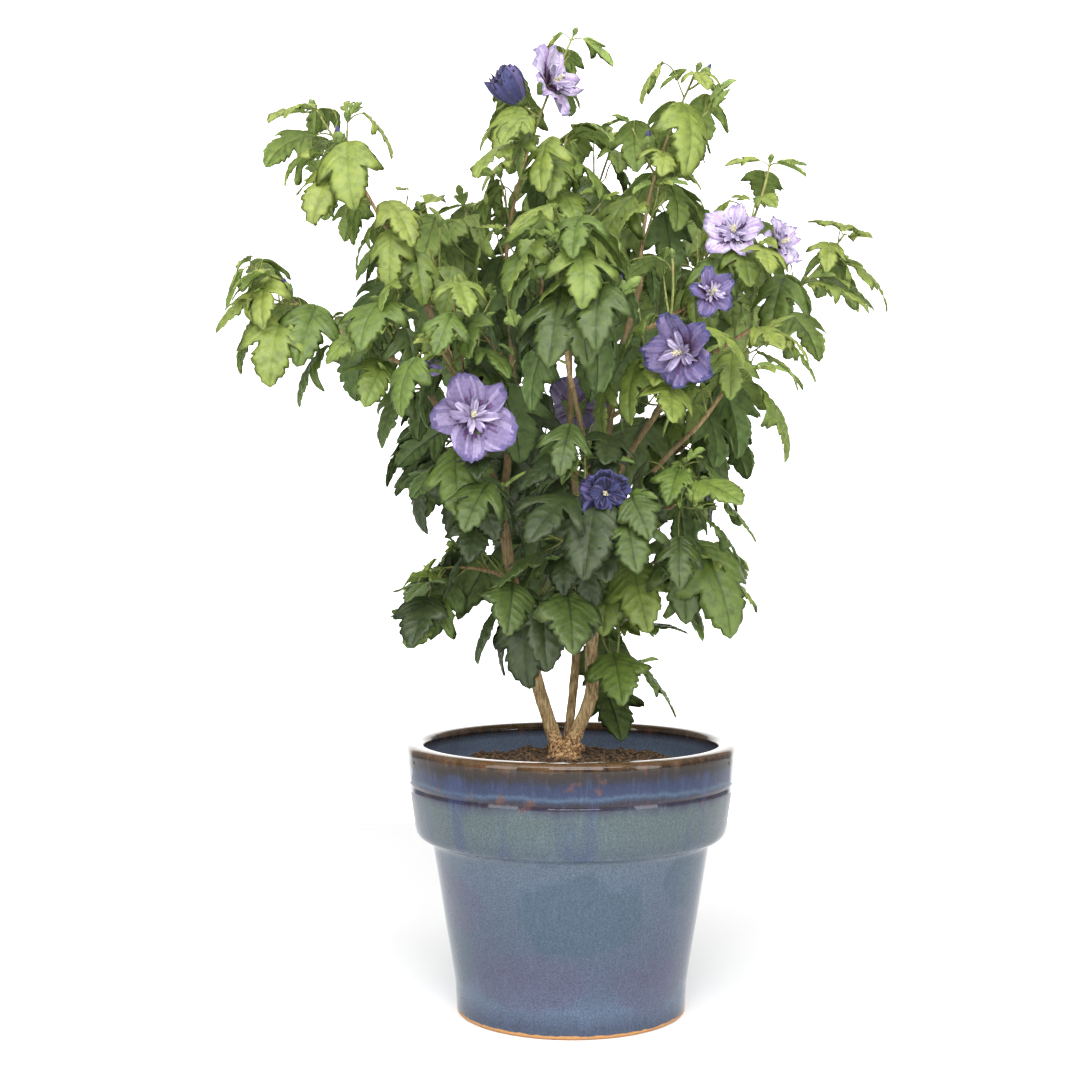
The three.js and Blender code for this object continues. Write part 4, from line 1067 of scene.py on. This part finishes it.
    def grow_finer(self):
        finer_seed, fine_tries, spur_tries = self.finer
        draw = random.Random(finer_seed)
        for order, shoot in enumerate(list(self.shoots)):
            for _ in range(fine_tries * (2 if order == 0 else 1)):
                share = draw.uniform(0.15, 0.97)
                self.add_finer(draw, shoot.curve, share, (9, 24), (0.5, 0.82), np.array((0.5, 1)))
        for _ in range(spur_tries):
            share = draw.uniform(max(0.2, self.on_share - 0.6), self.on_share)
            self.add_finer(draw, limbs[self.on], share, (14, 34), (0.6, 0.9), np.array((0.9, 1)))
        for shoot in self.shoots:
            end = along_curve(shoot.curve, 0.985)
            turn = draw.uniform(0, 360)
            for i in range(TUFT_LEAVES):
                leader = shoot is self.shoots[0]
                side = beside_curve(shoot.curve, 1, turn + i * GOLDEN_TURN, (54 if leader else 30) + 14 * i)
                length = draw.uniform(*((28, 44) if leader else (15, 30)))
                leaf = Leaf(end, side, length, draw.uniform(-50, 50 if leader else 20), draw.uniform(-40, 40))
                probes = leaf.probes()[1:]
                if within_box(probes) and self.in_reach(probes, 0.5) and self.clear_of_blooms(probes):
                    leaf.age = 0
                    self.tufts.append(leaf)


sprays = [Spray(*row) for row in SPRAYS]
for spray in sprays:
    spray.others = np.concatenate([other.bones for other in sprays if other is not spray])
    spray.grow()
    spray.grow_finer()

twigs = Heap()
for spray in sprays:
    for order, shoot in enumerate(spray.shoots):
        shares = np.linspace(0, 1, 26 if order == 0 else 12)
        line = along_curve(shoot.curve, shares)
        thick = shoot.thick[0] + ((1.9 if order == 0 else 1.3) - shoot.thick[0]) * shares ** 0.9
        rings = 0.22 * np.exp(-((shares * shoot.length + 5) % 21 - 10) ** 2 / 4)
        tender = [1 if order or share > 0.72 else 0 for share in shares[1:] for _ in range(9)] + [1, 1]
        twigs.add(*tube(line, thick / 2 + rings, 9), tender)
    for twig in spray.fine_twigs:
        twigs.add(*tube(along_curve(twig, np.linspace(0, 1, 6)), np.linspace(0.85, 0.6, 6), 6), 1)
    for bloom in spray.blooms:
        twigs.add(*tube(along_curve(bloom.stalk, np.linspace(0, 1, 9)), np.linspace(1.1, 1.25, 9), 8), 1)


def shoot_finish(name, dark, pale, patch):
    made = plain_finish(name, pale, 0.6, Specular_IOR_Level=0.4)
    place = own_place(made)
    streaks = mottle(made, stretched(made, place, 0.25), 520, 3)
    colour = ramp(made, streaks, [(0.32, dark), (0.6, pale)])
    patches = level(made, mottle(made, place, 60, 2), 0.5, 0.65, 0, 0.6)
    feed(made, blend_colours(made, patches, colour, patch), "Base Color")
    relief(made, streaks, 0.35, 0.0006)
    return made


shoots = twigs.piece("leafy_shoots", [
    shoot_finish("buff_twig_bark", srgb(104, 84, 56), srgb(164, 140, 100), srgb(138, 104, 68)),
    shoot_finish("green_twig", srgb(92, 104, 46), srgb(140, 146, 80), srgb(146, 122, 80)),
])
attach(shoots, "root")
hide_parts(*[spray.name for spray in sprays])

# Leaves
# Three-lobed leaves with coarse blunt teeth, thin and soft, creased along the veins.
# Each hangs from an arching stalk, its side lobes curling down; old ones are dark, young ones yellow-green.
# Their green is also painted: lighter on sunlit sprays, and darker under other leaves as painted shade.
LEAF_CUT = [
    (0.000, 0.028), (0.030, 0.090), (0.070, 0.160), (0.105, 0.200), (0.150, 0.236), (0.190, 0.240), (0.206, 0.272),
    (0.262, 0.328), (0.318, 0.338), (0.350, 0.384), (0.440, 0.464), (0.540, 0.522), (0.600, 0.506), (0.604, 0.440),
    (0.576, 0.376), (0.512, 0.300), (0.440, 0.205), (0.392, 0.112), (0.440, 0.136), (0.510, 0.190), (0.568, 0.218),
    (0.592, 0.196), (0.640, 0.232), (0.704, 0.230), (0.724, 0.186), (0.790, 0.194), (0.850, 0.164), (0.868, 0.124),
    (0.945, 0.092), (1.000, 0.000),
]
LEAF_BROAD = [
    (0.000, 0.028), (0.030, 0.120), (0.070, 0.205), (0.105, 0.262), (0.148, 0.310), (0.190, 0.318), (0.208, 0.350),
    (0.252, 0.396), (0.302, 0.400), (0.326, 0.420), (0.385, 0.458), (0.432, 0.466), (0.468, 0.446), (0.470, 0.412),
    (0.514, 0.404), (0.536, 0.366), (0.545, 0.325), (0.556, 0.268), (0.590, 0.276), (0.626, 0.292), (0.672, 0.288),
    (0.684, 0.246), (0.730, 0.252), (0.778, 0.226), (0.788, 0.182), (0.838, 0.180), (0.878, 0.148), (0.888, 0.110),
    (0.950, 0.082), (1.000, 0.000),
]
SPINE = [0.0, 0.004, 0.01, 0.016, 0.022, 0.03, 0.04, 0.052, 0.066, 0.08, 0.1, 0.13, 0.16, 0.19, 0.22, 0.26, 0.3, 0.34,
         0.39, 0.45, 0.49, 0.53, 0.58, 0.62, 0.66, 0.72, 0.77, 0.85, 0.92, 0.975]
VEINS = (4, 7, 11, 14, 19, 22, 25)
LEAF_THICK = 0.42
THINNEST = 0.0006
VEIN_POINTS = 41
FLAT_MIDDLE = 0.05
GREENS = [
    ("leaf_deep", (50, 63, 33)), ("leaf_dark", (70, 87, 40)), ("leaf_green", (88, 108, 47)),
    ("leaf_bright", (103, 121, 53)), ("leaf_light", (116, 131, 59)), ("leaf_young", (126, 139, 66)),
]


class BladeNet:
    """How a blade's points are joined: ribs run from the midrib to the rim and rings cross them, on two skins."""

    def __init__(self, ribs, rings):
        self.ribs, self.rings = np.array(ribs), np.array(rings)
        self.order = []
        self.faces = []
        self.parts = []
        self.index = {}
        last_rib, last_ring = len(ribs) - 1, len(rings) - 1
        for half in (0, 1):
            for skin in (0, 1):
                for ring in range(last_ring):
                    for rib in range(last_rib):
                        quad = [self.corner(half, r, b, skin) for r, b in
                                ((ring, rib), (ring, rib + 1), (ring + 1, rib + 1), (ring + 1, rib))]
                        for corners in ((quad[0], quad[1], quad[2]), (quad[0], quad[2], quad[3])):
                            self.join(corners[::-1] if (half + skin) % 2 else corners, 2 if ring == 0 else skin)
        for half in (0, 1):
            for ring in range(last_ring):
                quad = [self.corner(half, r, 0, skin) for r, skin in
                        ((ring, 0), (ring + 1, 0), (ring + 1, 1), (ring, 1))]
                self.join(quad[::-1] if half else quad, 0)

    def corner(self, half, ring, rib, skin):
        on_rim = ring == len(self.rings) - 1
        key = (0 if ring == 0 or (on_rim and rib == len(self.ribs) - 1) else half, ring, rib, 0 if on_rim else skin)
        if key not in self.index:
            self.index[key] = len(self.order)
            self.order.append(key)
        return self.index[key]

    def join(self, corners, part):
        corners = tuple(c for i, c in enumerate(corners) if c not in corners[:i])
        if len(corners) > 2:
            self.faces.append(corners)
            self.parts.append(part)


FINE_NET = BladeNet(range(len(LEAF_CUT)), [0, 0.05, 0.38, 0.72, 1])
PLAIN_NET = BladeNet([0, 2, 4, 7, 9, 11, 13, 15, 17, 20, 22, 25, 28, 29], [0, 0.06, 0.55, 1])


def leaf_shape(net, lobed, bend, fold, claw, draw):
    """Points of a blade's halves, 1 from base to tip: the base at the origin, the tip along X, the upper side up."""
    cut, broad = np.array(LEAF_CUT)[net.ribs], np.array(LEAF_BROAD)[net.ribs]
    spine = np.array(SPINE)[net.ribs]
    pucker, twist = draw.uniform(0.018, 0.03), draw.uniform(-0.4, 0.4)
    shares = np.linspace(0, 1, VEIN_POINTS)
    angles = -bend * shares ** 1.25
    mid_x = np.concatenate([[0], np.cumsum(np.cos(angles[1:]) / (VEIN_POINTS - 1))])
    mid_z = np.concatenate([[0], np.cumsum(np.sin(angles[1:]) / (VEIN_POINTS - 1))])
    lift = math.atan2(BLADE_TIP[2], BLADE_TIP[0]) - math.atan2(mid_z[-1], mid_x[-1])
    size = math.hypot(BLADE_TIP[0], BLADE_TIP[2]) / math.hypot(mid_x[-1], mid_z[-1])
    swell = np.array([0 if rib in VEINS else 1 for rib in net.ribs]) * pucker
    shaped = []
    for mirror in (1, -1):
        wobble = np.array([[draw.uniform(-0.014, 0.014), draw.uniform(-0.014, 0.014)] for _ in net.ribs])
        wobble[[0, -1]] = 0
        outline = broad + (cut - broad) * lobed + wobble
        outline[:, 1] *= draw.uniform(0.9, 1.06)
        reach = net.rings[:, None]
        ahead = spine + (outline[:, 0] - spine) * reach
        aside = outline[:, 1] * reach
        curl = max(0.05, 2.4 * claw * draw.uniform(0.75, 1.25))
        outer = np.maximum(0, aside - FLAT_MIDDLE)
        raised = fold * np.minimum(aside, 0.2) - (1 - np.cos(curl * outer)) / curl
        raised += swell * np.sin(math.pi * reach ** 0.8)
        raised += 0.02 * np.sin(ahead * 14 + draw.uniform(0, 6)) * (aside / 0.3) ** 2
        aside = np.minimum(aside, FLAT_MIDDLE) + np.sin(curl * outer) / curl
        aside *= mirror
        turn = twist * ahead
        side = aside * np.cos(turn) - raised * np.sin(turn)
        height = aside * np.sin(turn) + raised * np.cos(turn)
        way = -bend * np.clip(ahead, 0, 1) ** 1.25
        x = np.interp(ahead, shares, mid_x) - height * np.sin(way)
        z = np.interp(ahead, shares, mid_z) + height * np.cos(way)
        shaped.append(np.stack([
            x * math.cos(lift) - z * math.sin(lift), side, x * math.sin(lift) + z * math.cos(lift)], -1) * size)
    return shaped


def add_blade(heap, net, leaf, shade, lobed, bend, fold, claw, seed, slim=1.0):
    shaped = leaf_shape(net, lobed, bend, fold, claw, random.Random(seed))
    half_thick = LEAF_THICK / leaf.length * (1 - net.rings ** 3) * 0.5 + THINNEST
    places = []
    for half, ring, rib, skin in net.order:
        x, y, z = shaped[half][ring, rib]
        on_rim = ring == len(net.rings) - 1
        drop = 0 if on_rim else half_thick[ring] if skin == 0 else -half_thick[ring]
        places.append((x, 0 if ring == 0 else y * slim, z + drop))
    places = np.array(places) * leaf.length
    points = leaf.base + places[:, :1] * leaf.along + places[:, 1:2] * leaf.across + places[:, 2:] * leaf.normal
    # The midrib strip takes the next darker green: partly the vein's own colour, partly painted shade in its crease.
    # The underside is pale under the lighter greens and dull under the darker ones, so it follows the same painted
    # sun and shade.
    slot_of = (shade, len(GREENS) + (shade > 2), max(0, shade - 1))
    heap.add(points, net.faces, [slot_of[part] for part in net.parts])
    stalk_length = np.linalg.norm(leaf.base - leaf.root)
    bow = (leaf.root + leaf.base) / 2 + UP * stalk_length * 0.14
    stalk = curve_through(leaf.root, bow, leaf.base + leaf.along * leaf.length * 0.012)
    thick = np.linspace(0.85, 0.6, 7) * min(1, leaf.length / 46)
    heap.add(*tube(along_curve(stalk, np.linspace(0, 1, 7)), thick, 5), len(GREENS) + 2)


def toned(colour, *shares):
    """The colour made darker or lighter, all of it or channel by channel."""
    shares = shares * 3 if len(shares) == 1 else shares
    return tuple(min(1, value * share) for value, share in zip(colour, shares)) + (1,)


def leaf_finish(name, colour, shine=0.46):
    made = plain_finish(name, colour, shine, Specular_IOR_Level=0.4)
    place = own_place(made)
    stops = [(0.34, toned(colour, 0.66)), (0.5, colour), (0.74, toned(colour, 1.3, 1.2, 1.05))]
    feed(made, ramp(made, mottle(made, place, 120, 4, 0.65), stops), "Base Color")
    relief(made, mottle(made, place, 260, 3), 0.45, 0.0012)
    return made


leaf_materials = [leaf_finish(name, srgb(*colour)) for name, colour in GREENS]
leaf_materials.append(leaf_finish("leaf_underside_dull", srgb(92, 114, 62), 0.6))
leaf_materials.append(leaf_finish("leaf_underside_pale", srgb(134, 156, 84), 0.6))
leaf_materials.append(leaf_finish("leaf_stalk", srgb(112, 118, 56), 0.5))

# Leaves with more leaves over them than usual get a darker green, and those with fewer a lighter one: painted shade
# and painted sun.
COVER_REACH = 60
COVER_ABOVE = (12, 220)
COVER_USUAL = 7
leaf_centres = np.array([leaf.centre for spray in sprays for leaf in spray.leaves])


def cover_above(leaf):
    """How many leaves hang over this one and keep the sun off it; the count darkens its green as painted shade."""
    away = leaf_centres - leaf.centre
    above = (away[:, 2] > COVER_ABOVE[0]) & (away[:, 2] < COVER_ABOVE[1])
    return int(((np.hypot(away[:, 0], away[:, 1]) < COVER_REACH) & above).sum())


for side, owners in (("left", "left top centre upper_left"), ("right", "right far_right low_right front"),
                     ("back", "back back_left back_right")):
    owners = {"stem_" + side} | {"bough_" + name for name in owners.split()}
    heap = Heap()
    names = []
    for spray in sprays:
        if spray.on not in owners:
            continue
        names.append(spray.name)
        draw = random.Random(spray.seed + 5)
        for number, leaf in enumerate(spray.leaves + spray.tufts):
            height = np.clip((leaf.centre[2] - 420) / 380, 0, 1)
            # The green is lighter for young leaves and darker for old ones, and on top of that lighter with painted
            # sun and darker with painted shade.
            youth_and_painted_light = spray.painted_sun + 1.5 * (0.55 - leaf.age) + draw.uniform(-0.9, 0.9)
            youth_and_painted_light += 0.12 * (COVER_USUAL - cover_above(leaf))
            shade = int(np.clip(round(youth_and_painted_light), 0, len(GREENS) - 1))
            if number >= len(spray.leaves):
                add_blade(heap, PLAIN_NET, leaf, min(5, shade + 1), draw.uniform(0.2, 0.9), draw.uniform(0, 0.6), 0.5,
                          draw.uniform(0.1, 0.6), spray.seed * 100 + number, 0.6)
                continue
            lobed = draw.uniform(0.45, 1.0) if draw.random() < 0.45 + 0.45 * height else draw.uniform(0.0, 0.4)
            add_blade(heap, FINE_NET, leaf, shade, lobed, draw.uniform(0.35, 1.0) + 0.35 * height,
                      draw.uniform(0.02, 0.25), draw.uniform(0.2, 0.8) + 0.45 * height, spray.seed * 100 + number)
    leaves = heap.piece("leaves_" + side, leaf_materials)
    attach(leaves, "root")
    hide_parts(*names)

# Blossom and buds
# Each flower has five broad soft petals with burgundy streaks, a ring of narrow inner petals and a cream column.
# Wilted ones are furled and indigo. All sit in a green calyx ringed by thin bracts, on a short stalk.
BLOOM_COLOURS = [
    ("petal_lavender", (118, 106, 144)), ("petal_pale", (144, 132, 166)), ("petal_rim", (96, 86, 130)),
    ("petal_streak", (96, 70, 108)), ("petal_eye", (84, 34, 54)), ("petal_wilted", (62, 63, 106)),
    ("petal_wilted_dark", (30, 29, 56)), ("pollen_column", (208, 200, 164)), ("calyx_green", (96, 116, 54)),
    ("bud_green", (108, 126, 62)), ("petal_near_white", (186, 176, 202)), ("petal_pinkish", (172, 150, 188)),
]
LAVENDER, PALE, RIM, STREAK, EYE, WILTED, WILTED_DARK, COLUMN, CALYX, BUD, NEAR_WHITE, PINKISH = range(12)
blossom = Heap()


def skin_faces(rows, columns):
    """A closed thin sheet: an upper and a lower grid of points that share their rim."""
    faces, rims = [], []
    low = rows * columns
    for row in range(rows - 1):
        for column in range(columns - 1):
            a = row * columns + column
            faces.append((a, a + 1, a + columns + 1, a + columns))
            faces.append((low + a, low + a + columns, low + a + columns + 1, low + a + 1))
    edge = [(0, c) for c in range(columns)] + [(r, columns - 1) for r in range(1, rows)]
    edge += [(rows - 1, c) for c in range(columns - 2, -1, -1)] + [(r, 0) for r in range(rows - 2, 0, -1)]
    edge = [r * columns + c for r, c in edge]
    for start, end in zip(edge, edge[1:] + edge[:1]):
        rims.append((start, low + start, low + end, end))
    return faces + rims


PETAL_GRID = (14, 17)
STRAP_GRID = (8, 6)
SHEETS = {grid: skin_faces(*grid) for grid in (PETAL_GRID, STRAP_GRID)}


def add_petal(centre, facing, outward, size, broad, draw, colours, cup=0.2, depth=0.42, ruffle=0.06, eye=0.5,
              grid=PETAL_GRID):
    """A petal that rises from the flower's throat and spreads outward; size is its length."""
    rows, columns = grid
    side = np.cross(facing, outward)
    share = np.linspace(0, 1, rows)[:, None]
    q = np.linspace(-1, 1, columns)[None]
    ragged = np.array([[draw.uniform(-0.03, 0.03) for _ in range(columns)]])
    edge = 1 - 0.34 * np.abs(q) ** 2.6 + ragged
    half = broad * (0.16 + 0.84 * np.sin(np.clip(share / 0.74, 0, 1) * math.pi / 2)) * (1 - 0.10 * share ** 5)
    out = size * share * edge
    phase = draw.uniform(0, 6)
    ahead = size * (-depth * (1 - share) ** 1.8 + cup * share ** 2 * (1.2 - 0.9 * share))
    ahead = ahead + size * (draw.uniform(-0.14, 0.14) * q * share + ruffle * share ** 2 * np.sin(6.2 * q + phase))
    ahead = ahead + size * (0.12 * (1 - share) * q ** 2 + 0.010 * share * np.cos(21 * q))
    ahead = ahead + size * ruffle * 0.5 * share ** 3 * np.sin(15 * q + 2 * phase)
    aside = size * half * q
    points = (centre + out[..., None] * outward + aside[..., None] * side + ahead[..., None] * facing).reshape(-1, 3)
    thick = 0.3 * (0.4 + 0.6 * (1 - share)) * np.ones_like(q)
    below = points - thick.reshape(-1, 1) * facing
    base, pale, rim = colours
    slots = []
    reach = [draw.uniform(0.45, 1.15) * eye * (1.15 - 0.4 * abs(place)) for place in np.linspace(-1, 1, columns - 1)]
    tones = [draw.choice((base, base, pale)) for _ in range(columns - 1)]
    for row in range(rows - 1):
        place = (row + 0.5) / (rows - 1)
        for column in range(columns - 1):
            if place < reach[column] * 0.45:
                slot = EYE if eye > 0 else base
            elif place < reach[column]:
                slot = STREAK
            elif place > 0.88 + 0.06 * math.sin(column * 2.3 + phase):
                slot = rim
            else:
                slot = tones[column]
            slots += [slot, STREAK if slot == EYE else slot]
    faces = SHEETS[grid]
    slots += [rim] * (len(faces) - len(slots))
    blossom.add(np.concatenate([points, below]), faces, slots)


def add_spindle(centre, axis, heights, radii, sides, slot, folds=0, depth=0.0, twist=0.0, ragged=None):
    """A turned closed form along an axis, with lengthwise folds that may twist round it and a ragged mouth."""
    across, other = square_to(axis)
    turns = np.arange(sides) / sides * math.tau
    top = max(heights)
    rows = []
    for i, (height, radius) in enumerate(zip(heights, radii)):
        turn = turns + twist * i
        crease = 1 + depth * np.cos(folds * turns) * min(1, i / 2)
        raised = np.full(sides, float(height))
        if ragged is not None:
            raised += ragged * (height / top) ** 3
        rows.append(centre + raised[:, None] * axis + (radius * crease)[:, None]
                    * (np.cos(turn)[:, None] * across + np.sin(turn)[:, None] * other))
    points = np.concatenate(rows + [[centre + axis * heights[0]], [centre + axis * heights[-1]]])
    blossom.add(points, closed_rings(len(heights), sides), slot)


def add_sepal(root, axis, outward, length, wide, spread, slot):
    """A pointed sepal or bract: a slim four-sided leaf that leans out from the axis."""
    side = np.cross(axis, outward)
    shares = np.linspace(0, 1, 5)
    line = np.array([
        root + axis * length * s * math.cos(spread * s) + outward * length * s * math.sin(spread * (0.4 + s))
        for s in shares])
    widths = wide * np.sin(np.clip(shares * 0.9 + 0.12, 0, 1) * math.pi) ** 0.8
    widths[-1] = 0.05
    points = np.concatenate([line + side * widths[:, None], line - outward * 0.3, line - side * widths[:, None],
                             line + outward * 0.3 * (1 - shares)[:, None]])
    rows = len(shares)
    faces = []
    for i in range(rows - 1):
        for strip in range(4):
            a, b = strip * rows + i, (strip + 1) % 4 * rows + i
            faces.append((a, b, b + 1, a + 1))
    faces += [(3 * rows, 2 * rows, rows, 0), (rows - 1, 2 * rows - 1, 3 * rows - 1, 4 * rows - 1)]
    blossom.add(points, faces, slot)


def add_calyx(root, axis, radius, length, spread, slot):
    add_spindle(root, axis, [-0.3, 0.2 * length, 0.45 * length, 0.62 * length],
                [radius * 0.35, radius * 0.85, radius, radius * 0.8], 10, slot)
    for i in range(5):
        outward = spoke(square_to(axis), i / 5 * math.tau)
        add_sepal(root + axis * length * 0.35 + outward * radius * 0.82, axis, outward, length * 0.75, radius * 0.55,
                  spread, slot)
    for i in range(7):
        outward = spoke(square_to(axis), (i + 0.4) / 7 * math.tau)
        add_sepal(root + outward * radius * 0.4, axis, outward, length * 0.95, 0.7, spread + 0.45, slot)


def add_column(root, facing, half, draw):
    add_spindle(root, facing, [0, half * 0.3, half * 0.5, half * 0.56], [0.9, 1.1, 0.9, 0.5], 8, COLUMN)
    for _ in range(24):
        place = root + facing * half * draw.uniform(0.2, 0.58)
        turn = draw.uniform(0, math.tau)
        place = place + spoke(square_to(facing), turn) * draw.uniform(1.1, 2.6)
        blossom.add(place + BALL_POINTS * draw.uniform(0.5, 0.85), BALL_FACES, COLUMN)


OPEN_COLOURS = {
    "pale": (NEAR_WHITE, PINKISH, PALE), "open": (LAVENDER, PALE, RIM), "deep": (RIM, LAVENDER, WILTED),
}


def add_open_bloom(bloom, draw):
    facing, half, around = bloom.facing, bloom.wide / 2, square_to(bloom.facing)
    colours = OPEN_COLOURS[bloom.kind]
    start = draw.uniform(0, math.tau)
    for i in range(5):
        turn = start + i / 5 * math.tau + draw.uniform(-0.12, 0.12)
        outward = spoke(around, turn)
        add_petal(bloom.centre, facing, outward, half * draw.uniform(0.92, 1.12), draw.uniform(0.36, 0.50), draw,
                  colours, draw.uniform(-0.25, 0.2) + 0.3 * outward[2], ruffle=draw.uniform(0.05, 0.11))
    for i in range(13):
        turn = start + (i + draw.uniform(-0.3, 0.3)) / 13 * math.tau
        outward = unit(spoke(around, turn) + facing * draw.uniform(0.1, 0.8))
        add_petal(bloom.centre - facing * half * 0.16, facing, outward, half * draw.uniform(0.38, 0.70),
                  draw.uniform(0.13, 0.20), draw, (PALE, NEAR_WHITE, colours[0]), draw.uniform(-0.2, 0.5),
                  0.1, 0.10, 0, STRAP_GRID)
    add_spindle(bloom.centre - facing * half * 0.5, facing, [0, half * 0.1, half * 0.16],
                [half * 0.2, half * 0.16, 0.6], 12, EYE)
    add_column(bloom.centre - facing * half * 0.28, facing, half, draw)
    add_calyx(bloom.centre - facing * half * 0.66, facing, half * 0.24, half * 0.5, 0.5, CALYX)


def pleated_slots(rings, sides, draw, tones, dark_from):
    stripes = [tone for _ in range((sides + 2) // 3) for tone in [draw.choice(tones)] * 3][:sides]
    slots = []
    for ring in range(rings):
        dark = (ring / rings - dark_from) / (1.02 - dark_from)
        slots += [WILTED_DARK if draw.random() < dark else stripe for stripe in stripes]
    return slots + [WILTED_DARK] * (2 * sides)


def add_trumpet(bloom, draw):
    """A flower past its best: a pleated cup that has closed, with a torn, dark, curled mouth."""
    facing, wide = bloom.facing, bloom.wide
    root = bloom.centre - facing * wide * 0.5
    shares = np.linspace(0, 1, 15)
    inward = np.linspace(0.15, 1, 7)
    heights = np.concatenate([shares * wide * 1.1, wide * (1.1 - inward * 0.5)])
    outer = wide * (0.16 + 0.38 * np.sin(np.clip(shares * 1.25, 0, 1) * math.pi / 2) - 0.04 * shares ** 4)
    radii = np.concatenate([outer, outer[-1] * (0.90 - 0.80 * inward)])
    sides = 66
    torn = np.array([draw.uniform(-0.03, 0.03) for _ in range(sides)]) * wide
    torn += 0.10 * wide * np.cos(3 * np.arange(sides) / sides * math.tau + 0.6)
    slots = pleated_slots(21, sides, draw, (LAVENDER, PALE, RIM, WILTED, WILTED), 0.45)
    add_spindle(root + facing * wide * 0.1, facing, heights, radii, sides, slots, 11, 0.09, 0.012, torn)
    add_calyx(root, facing, wide * 0.27, wide * 0.85, 0.06, CALYX)
    for i in range(6):
        turn = i / 6 * math.tau + draw.uniform(0, 0.4)
        outward = unit(spoke(square_to(facing), turn) + facing * 1.6)
        add_petal(root + facing * wide * 0.45 + outward * wide * 0.12, unit(facing - outward * 0.3), outward,
                  wide * 0.6, 0.5, draw, (RIM, WILTED, WILTED_DARK), 0.8, 0.05, 0.2, 0)


def add_crumpled_bloom(bloom, draw):
    """A wilted flower seen open: limp indigo petals folded back over a dark middle."""
    facing, wide = bloom.facing, bloom.wide
    for layer, count, reach, cup in ((0, 5, 0.60, 0.5), (1, 6, 0.40, 1.0)):
        for i in range(count):
            turn = (i + 0.35 * layer) / count * math.tau + draw.uniform(-0.2, 0.2)
            outward = unit(spoke(square_to(facing), turn) + facing * 0.25 * layer)
            colours = (WILTED, RIM, WILTED_DARK) if i % 2 else (WILTED_DARK, WILTED, WILTED)
            add_petal(bloom.centre - facing * wide * 0.1, facing, outward, wide * reach * draw.uniform(0.85, 1.05),
                      draw.uniform(0.42, 0.62), draw, colours, cup * draw.uniform(0.7, 1.3), 0.25,
                      draw.uniform(0.16, 0.26), 0)
    add_spindle(bloom.centre - facing * wide * 0.3, facing, [0, wide * 0.12, wide * 0.2],
                [wide * 0.2, wide * 0.22, 1.0], 15, WILTED_DARK, 5, 0.2)
    add_column(bloom.centre - facing * wide * 0.2, facing, wide * 0.26, draw)
    add_calyx(bloom.centre - facing * wide * 0.5, facing, wide * 0.18, wide * 0.42, 0.4, CALYX)


def add_furled_bloom(bloom, draw):
    """A wilted flower rolled shut, its twisted pleats ending in a dark tip."""
    facing, wide = bloom.facing, bloom.wide
    root = bloom.centre - facing * wide * 0.5
    shares = np.linspace(0, 1, 18)
    radii = wide * (0.14 + 0.20 * np.sin(np.clip(shares * 0.80 + 0.10, 0, 1) * math.pi))
    radii[-2:] = wide * 0.12, wide * 0.03
    slots = pleated_slots(17, 42, draw, (LAVENDER, RIM, RIM, WILTED), 0.35)
    add_spindle(root + facing * wide * 0.1, facing, shares * wide * 1.6, radii, 42, slots, 5, 0.16, 0.13)
    add_calyx(root, facing, wide * 0.27, wide * 0.7, 0.2, CALYX)


def add_bud(centre, facing, wide, draw, showing=True):
    root = centre - facing * wide * 0.55
    rings, sides = (11, 20) if showing else (6, 10)
    shares = np.linspace(0, 1, rings)
    radii = wide * 0.3 * np.sin(np.clip(shares * 0.92 + 0.08, 0, 1) * math.pi) ** 0.7 + 0.15
    add_spindle(root + facing * wide * 0.1, facing, shares * wide, radii, sides, BUD, 5, 0.1, 0.02)
    if showing and wide > 14:
        add_spindle(root + facing * wide * 0.75, facing, shares * wide * 0.5,
                    wide * 0.17 * np.sqrt(1 - shares * 0.93), 15, WILTED, 5, 0.2, 0.08)
    add_calyx(root, facing, wide * 0.28, wide * 0.8, 0.18, CALYX)


CRUMPLED_FROM = 35
TRUMPET_FROM = 27
TIP_BUD_SHARE = 0.75
for spray in sprays:
    draw = random.Random(spray.seed + 9)
    for bloom in spray.blooms:
        if bloom.kind in OPEN_COLOURS:
            add_open_bloom(bloom, draw)
        elif bloom.kind == "bud":
            add_bud(bloom.centre, bloom.facing, bloom.wide, draw)
        elif bloom.wide > CRUMPLED_FROM:
            add_crumpled_bloom(bloom, draw)
        elif bloom.wide > TRUMPET_FROM:
            add_trumpet(bloom, draw)
        else:
            add_furled_bloom(bloom, draw)
    for shoot in spray.shoots:
        end, facing = along_curve(shoot.curve, 1), heading_of(shoot.curve, 1)
        tip = np.array([end, end + facing * 12])
        if draw.random() < TIP_BUD_SHARE and spray.in_reach(tip, 0.5) and spray.clear_of_blooms(tip):
            add_bud(end + facing * 4.5, facing, draw.uniform(7, 11), draw, False)


def petal_finish(name, colour, shine=0.6):
    made = plain_finish(name, colour, shine, Specular_IOR_Level=0.3, Sheen_Weight=0.1)
    place = own_place(made)
    stops = [(0.3, toned(colour, 0.76)), (0.5, colour), (0.7, toned(colour, 1.22))]
    feed(made, ramp(made, mottle(made, place, 300, 3, 0.6), stops), "Base Color")
    relief(made, mottle(made, place, 600, 2), 0.4, 0.0007)
    return made


flowers = blossom.piece("blossom_and_buds", [petal_finish(name, srgb(*colour)) for name, colour in BLOOM_COLOURS])
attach(flowers, "root")
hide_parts(*[spray.name for spray in sprays if spray.blooms])
